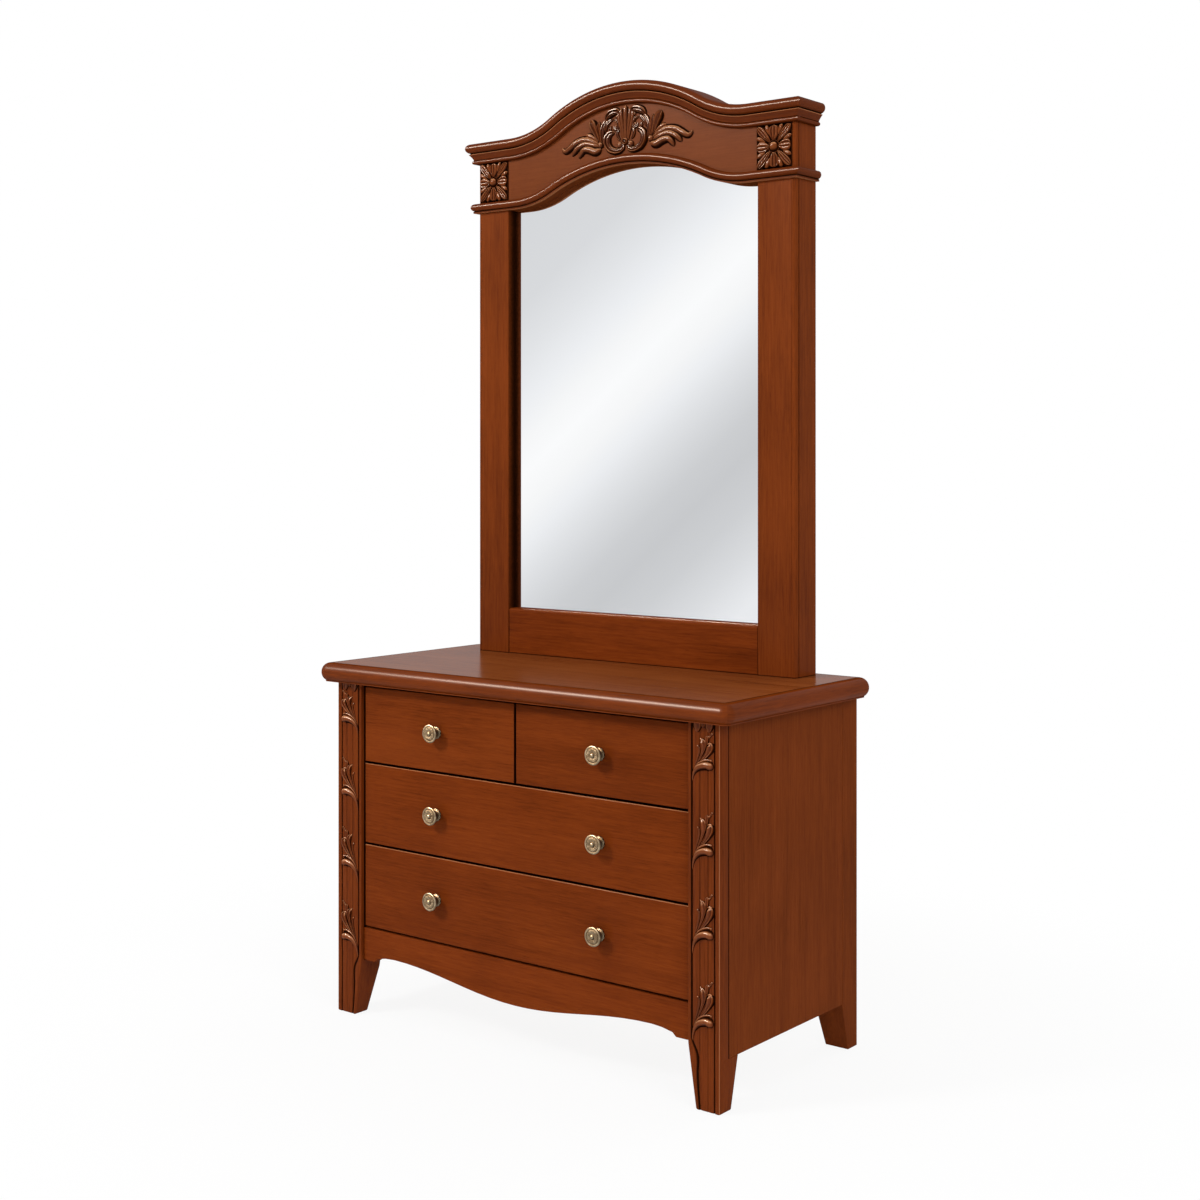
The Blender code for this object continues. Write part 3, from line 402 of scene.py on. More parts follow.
# Carving: a leaf's section as points (across in half widths, height as a share of the leaf's, relief).
# A low skirt, of negative relief, runs round it, painted dark as shade round the leaf.
rib_section = ((-1.34, -0.30, -0.3), (-1.34, 0.03, -0.3), (-1.00, 0.08, 0.0), (-0.90, 0.42, 0.45),
               (-0.68, 0.74, 0.85), (-0.36, 0.95, 1.0), (0.0, 1.02, 1.0), (0.36, 0.95, 1.0),
               (0.68, 0.74, 0.85), (0.90, 0.42, 0.45), (1.00, 0.08, 0.0), (1.34, 0.03, -0.3),
               (1.34, -0.30, -0.3))
# A lip's section: its doubled relief paints a highlight along its crest
lip_section = [(across, height, depth * 2) for across, height, depth in rib_section]
veined_section = ((-1.32, -0.30, -0.3), (-1.32, 0.03, -0.3), (-1.00, 0.10, 0.0), (-0.92, 0.52, 0.6),
                  (-0.78, 0.72, 1.0), (-0.60, 0.66, 0.7), (-0.48, 0.50, 0.10), (-0.34, 0.72, 0.8),
                  (-0.16, 0.92, 1.0), (0.04, 0.86, 0.8), (0.18, 0.66, 0.12), (0.32, 0.88, 0.9),
                  (0.52, 0.96, 1.0), (0.74, 0.82, 0.9), (0.92, 0.48, 0.5), (1.00, 0.10, 0.0),
                  (1.32, 0.03, -0.3), (1.32, -0.30, -0.3))
hooded_section = ((-1.32, -0.30, -0.3), (-1.32, 0.03, -0.3), (-1.00, 0.14, 0.0), (-0.93, 0.62, 0.7),
                  (-0.76, 0.96, 1.0), (-0.54, 0.98, 1.0), (-0.36, 0.74, 0.5), (-0.26, 0.56, 0.05),
                  (-0.08, 0.66, 0.55), (0.18, 0.78, 0.85), (0.44, 0.74, 0.8), (0.56, 0.56, 0.08),
                  (0.70, 0.68, 0.8), (0.88, 0.54, 0.7), (1.00, 0.10, 0.0), (1.32, 0.03, -0.3),
                  (1.32, -0.30, -0.3))
cupped_section = ((-1.34, -0.30, -0.3), (-1.34, 0.03, -0.3), (-1.00, 0.10, 0.0), (-0.92, 0.62, 0.7),
                  (-0.76, 0.90, 1.0), (-0.52, 0.84, 1.0), (-0.20, 0.62, 0.8), (0.08, 0.50, 0.65),
                  (0.30, 0.46, 0.35), (0.46, 0.62, 0.7), (0.68, 0.82, 1.0), (0.86, 0.74, 1.0),
                  (0.95, 0.46, 0.5), (1.00, 0.10, 0.0), (1.34, 0.03, -0.3), (1.34, -0.30, -0.3))


def leaf(shape, route, section, ground_y, tallest, height_share=1.05, ends=(0.25, 0.15)):
    """A carved leaf along (x, z, width) points on an upright ground, narrowed and lowered at its ends.

    Its height is a share of its half width, up to the tallest. The ends are shares of its full size.
    """
    path = smooth_path(route, 5)
    sections = []
    last = len(path) - 1
    for number, (x, z, width) in enumerate(path):
        ahead = path[min(number + 1, last)]
        behind = path[max(number - 1, 0)]
        run = Vector((ahead[0] - behind[0], 0, ahead[1] - behind[1])).normalized()
        across = Vector((run.z, 0, -run.x))
        swell = 1.0
        for end, steps in zip(ends, (number, last - number)):
            if steps < 3:
                swell *= end + (1 - end) * math.sin(math.pi / 2 * steps / 3)
        half = width / 2 * swell
        lift = min(width / 2 * height_share, tallest) * (0.35 + 0.65 * swell)
        sections.append([Vector((x, ground_y - height * lift, z)) + across * (side * half)
                         for side, height, depth in section])
    sweep(shape, sections, [depth for side, height, depth in section], shift=route[0][1] * 7)


def boss(shape, centre, radius, height, profile, steps=20):
    """A turned button on an upright ground: its section spun about a line along Y."""
    grain = shape.verts.layers.float_vector["grain"]
    relief = shape.verts.layers.float["relief"]
    points = []
    for out, up, depth in profile:
        vertex = shape.verts.new((centre[0] + out * radius, centre[1] - up * height, centre[2]))
        vertex[relief] = depth
        points.append(vertex)
    edges = [shape.edges.new(pair) for pair in zip(points, points[1:])]
    bmesh.ops.spin(shape, geom=points + edges, cent=centre, axis=(0, 1, 0), angle=math.tau, steps=steps,
                   use_merge=True, dvec=(0, 0, 0))
    for vertex in shape.verts:
        if not vertex[grain].length:
            vertex[grain] = (vertex.co.x * 2, vertex.co.z * 2, 0)


# The crest carving's right-hand routes in millimetres: (across from the middle, up from its foot, width)
carving_foot_z = 1.757
palmette = (
    ((0, 26, 7), (0, 55, 9), (0, 82, 11.5), (0, 100, 10)),
    ((3.5, 27, 5), (6.5, 52, 7), (10.5, 78, 9.5), (11.5, 96, 7.5)),
    ((6, 28, 4), (11, 50, 6), (17, 74, 8), (18.5, 90, 6)),
)
scrolls = (
    ((13, 86, 7), (22, 90, 13), (33, 89, 14.5), (43, 84, 13), (51, 75, 7)),
    ((44, 77, 6), (53, 68, 9), (58.5, 55, 10.5), (59, 41, 10), (56, 28, 7)),
    ((31, 76, 5), (41, 71, 7.5), (49, 62, 8), (51, 51, 5)),
    ((28, 47, 7), (37, 46.5, 11), (45, 39, 14), (46, 27, 15), (39, 15, 14), (27, 9, 12.5), (15, 8.5, 10.5),
     (6.5, 14, 8), (7, 23, 6), (13, 27, 4)),
    ((31, 73, 5), (23, 71, 7), (18, 62, 7), (22, 54, 6.5), (29, 56, 5), (28, 62, 4)),
    ((15, 54, 4), (21, 46, 6), (19, 36, 6), (13, 30, 4)),
    ((36, 62, 5), (40, 56, 6), (38, 51, 4)),
)
wings = (
    ((64, 32, 7), (66, 46, 11), (68, 60, 12.5), (67, 75, 5)),
    ((67, 34, 7), (74, 49, 12), (81, 64, 17), (86, 74, 15), (90, 80, 5)),
    ((70, 32, 5), (82, 42, 9), (93, 48, 10), (102, 50, 4)),
    ((70, 29, 5), (84, 37, 8), (98, 43, 8), (108, 45, 4)),
    ((68, 26, 6), (86, 36, 11), (106, 41, 13), (126, 37, 14), (142, 28, 13), (153, 22, 11), (160, 24, 8),
     (164, 31, 3)),
    ((68, 22, 7), (86, 29, 11), (106, 32, 12), (122, 26, 12), (133, 17, 10), (138, 10, 5)),
    ((62, 17, 10), (76, 13, 15), (92, 19, 15), (106, 20, 13), (115, 12, 11), (120, 3, 6)),
)
# Small balls between them: (across, up, radius)
crest_balls = ((63.5, 25, 7.0), (13.5, 20, 7.2), (24.5, 60, 3.6), (23, 80, 3.0), (38, 56, 2.6))
# Turned buttons: (radius, height, relief), as shares of the button's own
ball_profile = ((0.0, 1.0, 1.0), (0.38, 0.92, 1.0), (0.70, 0.71, 0.9), (0.92, 0.38, 0.45), (1.0, 0.0, 0.0))
dished_profile = ((0.0, 0.80, 0.9), (0.22, 0.74, 0.7), (0.36, 0.52, 0.2), (0.50, 0.62, 0.5),
                  (0.68, 0.96, 1.0), (0.84, 0.86, 1.0), (0.96, 0.45, 0.5), (1.0, 0.0, 0.0))


def turned_over(section):
    """A leaf's section for the left-hand side."""
    return [(-across, height, depth) for across, height, depth in section[::-1]]


def carve(shape, side, middle_x, ground_y, foot_z, groups, balls, tallest, size=1.0):
    """Carves groups of (routes, section) and balls on an upright ground, beside a middle line."""
    for routes, section in groups:
        for route in routes:
            points = [(middle_x + side * x / 1000, foot_z + z * size / 1000, width / 1000)
                      for x, z, width in route]
            leaf(shape, points, section if side > 0 else turned_over(section), ground_y, tallest)
    for x, z, radius in balls:
        boss(shape, (middle_x + side * x / 1000, ground_y, foot_z + z * size / 1000), radius / 1000,
             min(tallest, radius / 1000 * 0.9) * 1.1, ball_profile, 16)


def carve_crest(material):
    """The applied carving of palmette, scrolls and feathered wings."""
    shape = new_shape()
    ground = mirror_face_y - fit_gap
    groups = ((palmette[1:], rib_section), (scrolls, hooded_section), (wings[:2], cupped_section),
              (wings[2:], rib_section))
    for side in (-1, 1):
        carve(shape, side, 0, ground, carving_foot_z, groups, crest_balls, 0.0090)
    carve(shape, 1, 0, ground, carving_foot_z, ((palmette[:1], rib_section),), (), 0.0110)
    boss(shape, (0, ground, carving_foot_z + 0.026), 0.0075, 0.0080, dished_profile)
    finished("crest_carving_leaves", shape, material, "cabinet", ["crest_carving"])


# A post spray's routes in millimetres: (across from the post's inner edge, up from the spray's foot, width)
spray_horns = (
    ((9.4, 0, 1.6), (11, 12, 3.6), (15, 23, 7.5), (23, 32, 11), (33, 36.5, 13), (41, 37.5, 14),
     (46, 36, 14.5), (49.5, 33.5, 9)),
    ((10.8, 22, 1.6), (15.5, 32, 2.8), (23.5, 41, 3.8), (34, 47, 4.2), (43, 49.2, 3.8), (47.6, 48.8, 3.2)),
)
spray_stalks = (
    ((14.5, 34, 1.5), (19, 48, 2.6), (22.5, 60, 3.4), (24, 70, 3.6), (22.5, 77, 2.6)),
    ((18, 37, 1.8), (26, 54, 3.6), (32, 69, 6.2), (34.5, 81, 9.5), (33, 88.5, 9.5), (29, 94.5, 4)),
    ((35, 72, 1.8), (37.5, 82, 4.6), (39.5, 91, 7.0), (40, 98, 6.5), (40.5, 103, 2.4)),
    ((22, 38, 1.8), (32, 50, 4.4), (41, 62, 8), (46, 72, 12), (48, 80, 12.5), (46, 85, 7)),
    ((42, 95, 2), (46, 102, 3.6), (50.2, 107.5, 2.4)),
)
spray_lips = (
    ((25, 96, 1.8), (29.5, 91.5, 3.0), (34.5, 85, 1.8)),
    ((40, 84, 1.8), (46, 86, 3.2), (51, 82.5, 3.0), (51.8, 76, 1.8)),
)
spray_balls = ((46.3, 36.0, 7.6), (48.2, 48.4, 2.6), (21.0, 77.4, 2.4), (44.4, 100, 2.4), (50.6, 107, 2.2))
# Each spray's foot and size
spray_feet = ((0.119, 1.0), (0.2706, 1.0), (0.417, 0.96), (0.572, 0.79))
# The leaf tips that hang below the top board, up from their lowest point
lappets = (
    ((20, 0, 3), (20, 5, 10), (20, 11, 15), (20, 18, 15)),
    ((44.5, 1, 3), (44.5, 6, 10), (44.5, 12, 15), (44.5, 18, 15)),
    ((32.3, 9, 3), (32.3, 12, 7), (32.3, 15, 8), (32.3, 18, 8)),
)
lappet_foot_z = 0.6574


def carve_sprays(name, side, material):
    """Four carved sprays up the face of a front post, under a row of leaf tips."""
    shape = new_shape()
    edge_x = side * (body_half_width - post_width)
    field_y = face_y + post_field_depth
    for foot_z, size in spray_feet:
        for routes, section, tallest in ((spray_horns, rib_section, 0.0100),
                                         (spray_stalks, cupped_section, 0.0070),
                                         (spray_lips, lip_section, 0.0085)):
            carve(shape, side, edge_x, field_y, foot_z, ((routes, section),), (), tallest, size)
        carve(shape, side, edge_x, field_y, foot_z, (), spray_balls, 0.0100, size)
    carve(shape, side, edge_x, field_y, lappet_foot_z, ((lappets, cupped_section),), (), 0.0032)
    finished(name, shape, material, "cabinet")


# A front post's face in millimetres: (across from the inner edge, depth), its field between grooved borders
post_face = (
    (0, 1.8), (0.3, 0.8), (1.0, 0.2), (2.2, 0), (4.0, 0), (5.2, 0.4), (6.2, 1.5), (7.0, 2.3), (8.0, 2.5),
    (9.0, 2.1), (9.8, 1.2), (10.6, 0.8), (23.5, 0.8), (24.4, 1.6), (25.3, 0.8), (40.4, 0.8), (41.3, 1.6),
    (42.2, 0.8), (52.0, 0.8), (53.2, 1.1), (54.0, 2.0), (55.0, 2.4), (55.8, 1.9), (56.6, 0.8), (57.8, 0.1),
    (60.0, 0), (63.6, 0), (65.2, 0.5), (66, 1.8),
)
post_field_depth = 0.0008
# The inner border's groove in millimetres: (height, across) down the foot, and across above it
groove_course = ((0, 24.5), (30, 22.2), (48, 21.0), (66, 20.6), (84, 21.6), (95, 20.6), (104, 17.4),
                 (118, 9.6), (126, 8.0))
groove_place = 8


def post_section(side, z, groove, lapped=True, squeeze=0.0):
    """A front post's plan at a height: its inner and rear faces slant in below, and its border swings over.

    A lapped one is cut back for the side panel. A squeezed one is smaller all round, for the sole's arris.
    """
    edge = 1000 * (post_width - foot_width) * max(0.0, 1 - z / foot_taper_height)
    rear = 1000 * (front_post_depth - (front_post_depth - foot_depth) * max(0.0, 1 - z / panel_bottom_height))
    lap = 1000 * (front_post_depth - panel_lap) if lapped else rear
    outer = 1000 * post_width
    shoulder = 1000 * (post_width - panel_thickness)
    border = groove - groove_place
    points = []
    for across, depth in post_face:
        if across <= 5.2:
            across += edge + (border - edge) * across / 10
        elif across <= 10.6:
            across += border
        elif across <= 40:
            across = max(across, 10.9 + border + (across - 24) * 0.3)
        points.append((across, depth))
    points += [(outer, lap - 2.4), (outer, lap), (shoulder, lap), (shoulder, rear), (edge, rear),
               (edge, 9.0), (edge, 7.8)]
    middle = Vector((outer / 2 + edge / 2, rear / 2, 0))
    placed = []
    for across, depth in points:
        point = middle + (Vector((across, depth, 0)) - middle) * (1 - squeeze)
        x = body_half_width - post_width + point.x / 1000
        placed.append(Vector((side * x, face_y + point.y / 1000, z)))
    return placed


def make_front_post(word, side, material):
    """A front post with its moulded face: the border's groove swings in an S over the tapered foot.

    It is dark in its grooves, partly dark glazing and partly painted shade, has a dark joint along the side
    panel, painted shade on its inner face behind the drawers' faces and a painted highlight on its outer
    front arris.
    """
    shape = new_shape()
    course = [(z / 1000, groove) for z, groove in smooth_path(groove_course, 3)]
    foot_groove = course[0][1]
    sections = [post_section(side, 0, foot_groove, False, 0.085),
                post_section(side, 0.0008, foot_groove, False, 0.03)]
    course[0] = (0.0026, foot_groove)
    for (z, groove), (ahead, after) in zip(course, course[1:] + [(body_height, groove_place)]):
        sections.append(post_section(side, z, groove, z > panel_bottom_height))
        if z <= panel_bottom_height < ahead:
            sections.append(post_section(side, panel_bottom_height, groove, False))
            sections.append(post_section(side, panel_bottom_height + 0.0002, groove))
    sections += [post_section(side, z, groove_place) for z in (0.30, 0.50, body_height - fit_gap)]
    reliefs = [min(1.0, max(0.0, (1.5 - depth) / 0.7)) if 2 < across < 62 else 1.0
               for across, depth in post_face]
    # Painted highlight on the outer front arris
    reliefs[-2] = 1.6
    sweep(shape, sections, reliefs + [1.0, 0.0, 1.0, 1.0, 1.0, 1.0, 1.0])
    relief = shape.verts.layers.float["relief"]
    # Painted shade on the inner face behind the drawers' faces
    for vertex in shape.verts:
        inner = abs(vertex.co.x) < body_half_width - post_width + 0.0002
        if inner and vertex.co.y > drawer_front_y + 0.0005 and vertex.co.z > foot_taper_height:
            vertex[relief] = 0.0
    finished("front_post_moulded_" + word, shape, material, "cabinet",
             ["front_post_" + word])


def make_mirror_post(word, side, material):
    """A mirror post: a rounded outer corner, a quirk line on its side and the rebate for the glass."""
    round_radius = 0.0085
    round_x = mirror_half_width - round_radius
    quirk_x = mirror_half_width - quirk_depth
    plan = [(mirror_inner_x, mirror_face_y + 0.0012), (mirror_inner_x + 0.0004, mirror_face_y + 0.0004),
            (mirror_inner_x + 0.0012, mirror_face_y), (round_x - 0.0012, mirror_face_y),
            (round_x - 0.0006, mirror_face_y + 0.0006)]
    plan += arc((round_x, mirror_face_y + round_radius), round_radius, -90, 0, 9)
    plan += [(mirror_half_width, mirror_face_y + 0.0100), (quirk_x, mirror_face_y + 0.0106),
             (quirk_x, mirror_face_y + 0.0130), (mirror_half_width, mirror_face_y + 0.0136),
             (mirror_half_width, mirror_rear_y), (mirror_inner_x + glass_lap, mirror_rear_y),
             (mirror_inner_x + glass_lap, glass_y), (mirror_inner_x, glass_y)]
    shape = new_shape()
    # Painted shade in the quirk, along the inner arris and in the glass's rebate
    reliefs = [0.0 if x == quirk_x else 1.0 for x, y in plan[:-2]] + [0.0, 0.0]
    reliefs[0] = 0.45
    sweep(shape, [[Vector((side * x, y, z)) for x, y in plan] for z in (top_height, crest_base_z)], reliefs)
    finished("mirror_post_moulded_" + word, shape, material, "cabinet",
             ["mirror_post_" + word])


def make_edging(word, facing, material):
    """A bullnose strip of the top board, mitred in the middle of its rounded corners.

    facing is the direction in degrees that the strip faces. The section is (inwards, up).
    """
    nose = edging_nose_radius
    fillet = 0.0092
    section = [(edging_width, 0.0), (fillet, 0.0), (fillet, 0.0016)]
    section += arc((nose, nose), nose, 240, 180, 10)
    section += arc((nose, top_thickness - nose), nose, 178, 98, 10)
    section += [(nose + 0.0003, top_thickness), (edging_width - 0.0001, top_thickness),
                (edging_width, top_thickness - 0.0002)]
    ahead = (round(math.cos(math.radians(facing))), round(math.sin(math.radians(facing))))
    sections = []
    for end in (-1, 1):
        corner_x = (ahead[0] - end * ahead[1]) * (top_half_width - edging_corner_radius)
        front = ahead[1] + end * ahead[0] < 0
        corner_y = top_edge_y + edging_corner_radius if front else rear_y - edging_corner_radius
        turns = [facing + end * step for step in (45, 36, 27, 18, 9, 0)]
        for turn in (turns if end < 0 else turns[::-1]):
            out = Vector((math.cos(math.radians(turn)), math.sin(math.radians(turn)), 0))
            ring = []
            for inward, up in section:
                reach = edging_corner_radius - inward
                if inward >= edging_width:
                    reach /= max(abs(out.x), abs(out.y))
                ring.append(Vector((corner_x, corner_y, body_height + up)) + out * reach)
            sections.append(ring)
    shape = new_shape()
    # Painted shade on the fillet under the nose, and a dark joint where the nose meets the top panel
    sweep(shape, sections, [1.0, 1.0, 1.0, 0.2] + [1.0] * (len(section) - 8) + [0.8, 0.45, 0.0, 0.0])
    finished("edging_bullnose_" + word, shape, material, "cabinet", ["top_edging_" + word])


def serpentine(rise, reach, crown_share):
    """Stations (x, z, lean) of an ogee arch between its level ends, with its crown's share of both bends."""
    lean = 2 * math.atan2(rise, reach)
    radii = reach / math.sin(lean)
    crown_radius = radii * crown_share
    foot_radius = radii - crown_radius
    half = []
    for step in range(arch_steps + 1):
        turn = lean * step / arch_steps
        half.append((crown_radius * math.sin(turn), rise - crown_radius * (1 - math.cos(turn)), turn))
    for step in range(arch_steps - 1, -1, -1):
        turn = lean * step / arch_steps
        half.append((reach - foot_radius * math.sin(turn), foot_radius * (1 - math.cos(turn)), turn))
    return [(-x, z, -turn) for x, z, turn in half[:0:-1]] + half


def moulding_relief(profile, hollows, arris):
    """A moulding section's relief: none in its hollows, which are painted dark, partly dark glazing and
    partly painted shade, and most on its arris, which carries a painted highlight, at these heights.
    """
    reliefs = []
    for out, up in profile:
        if any(abs(up - hollow) < 0.0010 for hollow in hollows):
            reliefs.append(0.0)
        else:
            reliefs.append(2.0 if abs(up - arris) < 0.0003 else 1.0)
    return reliefs


def moulding(profile, stations, base_z, gap, board):
    """A mitred moulding's sections from its left return's rear end to its right one's.

    A board runs on to the mirror's rear face.
    """
    half = mirror_half_width + gap
    front = mirror_face_y - gap
    rear = [base_z + profile[-1][1], base_z + profile[0][1]] if board else []
    ends = []
    for side in (-1, 1):
        inner = [Vector((side * half, mirror_rear_y, z)) for z in rear]
        at_rear = [Vector((side * (half + out), mirror_rear_y, base_z + up)) for out, up in profile]
        at_corner = [Vector((side * (half + out), front - out, base_z + up)) for out, up in profile]
        ends += [at_rear + inner, at_corner + inner]
    middle = []
    for x, z, lean in stations:
        section = [Vector((x + up * math.sin(lean), front - out, base_z + z + up * math.cos(lean)))
                   for out, up in profile]
        if board:
            section += [Vector((section[-1].x, mirror_rear_y, section[-1].z)),
                        Vector((section[0].x, mirror_rear_y, section[0].z))]
        middle.append(section)
    return [*ends[:2], *middle, ends[3], ends[2]]


def make_crown(material):
    """The serpentine crown: a roll over a quirk, an ogee field and a small rounded fillet."""
    profile = arc((0.0060, 0.0040), 0.0040, -90, 74, 9)
    profile += [(0.0072, 0.0084)]
    for step in range(1, 9):
        way = step / 8
        profile.append((0.0072 + 0.0082 * way ** 1.4, 0.0086 + 0.0126 * way))
    profile += [(0.0150, 0.0216), (0.0126, 0.0220), (0.0124, 0.0234)]
    profile += arc((0.0104, 0.0339), 0.0106, -68, 90, 18)
    shape = new_shape()
    sweep(shape, moulding(profile, serpentine(*crown_arch), crest_base_z + fit_gap, 0, True),
          moulding_relief(profile, (0.0085, 0.0228, 0.0234), 0.0213) + [1.0, 1.0])
    finished("crown_moulding_ogee", shape, material, "cabinet", ["crown_moulding"])


def make_bead(material):
    """The bead over the glass: a fillet, a fine groove and a half round."""
    profile = [(0.0, 0.0), (0.0070, 0.0), (0.0075, 0.0005), (0.0075, 0.0040), (0.0060, 0.0046)]
    profile += arc((0.00375, 0.01275), 0.00825, -68, 90, 16)
    profile += [(0.0, 0.0210)]
    shape = new_shape()
    sweep(shape, moulding(profile, serpentine(*bead_arch), bead_base_z, fit_gap, False),
          moulding_relief(profile, (0.0046,), 0.0))
    finished("crest_bead_round", shape, material, "cabinet", ["crest_bead"])


# The rosette's petals: (turn in degrees, root, tip and width), the last three in shares of half its height
rosette_petals = tuple((turn, 0.27, 0.94, 0.56) for turn in (0, 90, 180, 270))
rosette_leaves = tuple((turn, 0.30, 1.30, 0.36) for turn in (45, 135, 225, 315))
rosette_fillers = tuple((turn, 0.56, 1.06, 0.22) for turn in (25, 65, 115, 155, 205, 245, 295, 335))
# A petal's width along it: (way, share)
petal_swell = ((0.0, 0.30), (0.35, 0.82), (0.66, 1.0), (0.88, 0.78), (1.0, 0.30))
# The rosette's button: (radius, height, relief) in shares of its own; its ring of negative relief is painted
# shade
button_profile = ((0.0, 1.0, 1.0), (0.30, 0.96, 1.0), (0.56, 0.82, 1.0), (0.76, 0.56, 0.9),
                  (0.88, 0.24, 0.2), (0.93, 0.04, -0.3), (1.08, 0.05, -0.3), (1.15, 0.20, 0.5),
                  (1.22, 0.20, 0.6), (1.28, 0.0, 0.0))


def make_rosette(word, side, material):
    """A square block on a mirror post's head with a domed button, four broad petals and leaves between."""
    outer_x = mirror_half_width - rosette_inset
    middle_x = side * (outer_x + mirror_inner_x) / 2
    middle_z = crest_base_z - rosette_height / 2
    ground = mirror_face_y - fit_gap
    half_x = (outer_x - mirror_inner_x) / 2
    half_z = rosette_height / 2 - fit_gap
    face = ground - rosette_block_thickness
    shape = new_shape()
    rings = []
    for inset, y in ((0.0, ground), (0.0, ground - 0.0012), (0.0008, face), (0.0030, face)):
        rings.append([Vector((middle_x + (half_x - inset) * x, y, middle_z + (half_z - inset) * z))
                      for x, z in ((-1, -1), (1, -1), (1, 1), (-1, 1))])
    # The block's ground is darkened, partly as dark glazing and partly as painted shade between the petals
    sweep(shape, rings, [0.22] * 4)
    reach = rosette_height / 2
    for group, section in ((rosette_leaves, veined_section), (rosette_petals, veined_section),
                           (rosette_fillers, rib_section)):
        for turn, root, tip, width in group:
            across = math.sin(math.radians(turn)) * (half_x + 0.001)
            up = math.cos(math.radians(turn)) * reach
            route = []
            for way, swell in petal_swell:
                out = root + (tip - root) * way
                route.append((middle_x + across * out, middle_z + up * out, width * swell * reach))
            leaf(shape, route, section, face, 0.0036, height_share=0.75, ends=(0.6, 0.45))
    boss(shape, (middle_x, face, middle_z), 0.0100, 0.0085, button_profile, 28)
    finished("rosette_carved_" + word, shape, material, "cabinet", ["rosette_" + word])


def make_drawer_front(node, body, material):
    """A drawer front with rounded front arrises; its edges behind them are painted dark, as shade in the
    gaps.

    The top row's upper edge is eased down a little, for the dark line under the top board, and its top arris
    is painted dark as that board's shadow; the other rows' top arris carries a painted highlight.
    """
    low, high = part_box(node)
    top_row = high.z > top_row_level
    if top_row:
        high.z -= top_row_easing
    shape = new_shape()
    relief = shape.verts.layers.float["relief"]
    bmesh.ops.create_cube(shape, size=1.0)
    bmesh.ops.scale(shape, vec=high - low, verts=shape.verts)
    bmesh.ops.translate(shape, vec=(low + high) / 2, verts=shape.verts)
    rear = [face for face in shape.faces if face.calc_center_median().y > high.y - 0.0001]
    bmesh.ops.inset_individual(shape, faces=rear, thickness=0.0012)
    front = [edge for edge in shape.edges if all(vertex.co.y < low.y + 0.0001 for vertex in edge.verts)]
    bmesh.ops.bevel(shape, geom=front, offset=front_rounding, offset_type="OFFSET", affect="EDGES",
                    segments=6, profile=0.5, material=-1)
    for vertex in shape.verts:
        x, y, z = vertex.co
        inner = min(x - low.x, high.x - x, z - low.z, high.z - z) > 0.001
        if y < low.y + 0.0001 or inner:
            vertex[relief] = 1.0
        # Top arris: painted shadow under the top board on the top row, painted highlight on the others
        elif z > high.z - front_rounding - 0.0001 and y < low.y + 0.0024:
            vertex[relief] = 0.0 if top_row else 2.0
        else:
            # Edges behind the front: painted shade in the gaps
            vertex[relief] = 1.0 if y < low.y + 0.0008 else 0.0
    finished(node + "_rounded", shape, material, body, [node])


# A knob's section: (radius and height in shares of the knob's, relief)
knob_section = (
    (0.0, 1.0, 1.0), (0.08, 0.995, 0.9), (0.15, 0.975, 0.8), (0.20, 0.93, 0.5), (0.24, 0.885, 0.0),
    (0.29, 0.875, 0.1), (0.33, 0.885, 0.6), (0.58, 0.905, 0.7), (0.70, 0.895, 0.6), (0.76, 0.870, 0.1),
    (0.81, 0.885, 0.7), (0.90, 0.890, 1.0), (0.965, 0.865, 1.0), (1.0, 0.82, 1.0), (0.995, 0.775, 0.8),
    (0.95, 0.72, 0.5), (0.80, 0.62, 0.3), (0.60, 0.51, 0.2), (0.47, 0.42, 0.1), (0.42, 0.36, 0.2),
    (0.41, 0.26, 0.2), (0.46, 0.19, 0.3), (0.58, 0.145, 0.6), (0.66, 0.105, 0.8), (0.69, 0.05, 0.6),
    (0.69, 0.012, 0.3),
)


def make_knob(node, body, material):
    """A turned knob on a drawer front: its section spun about the knob's middle line."""
    low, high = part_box(node)
    x, z = (low.x + high.x) / 2, (low.z + high.z) / 2
    shape = new_shape()
    grain = shape.verts.layers.float_vector["grain"]
    relief = shape.verts.layers.float["relief"]
    points = []
    for out, up, depth in knob_section:
        vertex = shape.verts.new((x + out * knob_radius, drawer_front_y - up * knob_length, z))
        vertex[relief] = depth
        points.append(vertex)
    edges = [shape.edges.new(pair) for pair in zip(points, points[1:])]
    bmesh.ops.spin(shape, geom=points + edges, cent=(x, 0, z), axis=(0, 1, 0), angle=math.tau, steps=72,
                   use_merge=True, dvec=(0, 0, 0))
    rims = [edge for edge in shape.edges if edge.is_boundary]
    bmesh.ops.edgeloop_fill(shape, edges=rims)
    for vertex in shape.verts:
        across, up = vertex.co.x - x, vertex.co.z - z
        around = math.atan2(up, across) if across or up else 0.0
        vertex[grain] = (around, math.hypot(across, up) / knob_radius, 0)
    finished(node + "_turned", shape, material, body, [node], smooth=50)


# Materials
drawer_woods = {
    "small_drawer_left": wood("drawer_wood_one", "X", (0.1, 0.3, 0.2), middle=(118, 52, 16), glazed_and_shaded=True),
    "small_drawer_right": wood("drawer_wood_two", "X", (0.7, 0.9, 0.4), middle=(108, 46, 13), glazed_and_shaded=True),
    "middle_drawer": wood("drawer_wood_three", "X", (1.3, 0.2, 0.8), glazed_and_shaded=True),
    "bottom_drawer": wood("drawer_wood_four", "X", (2.1, 0.5, 1.4), middle=(110, 47, 14), glazed_and_shaded=True),
}
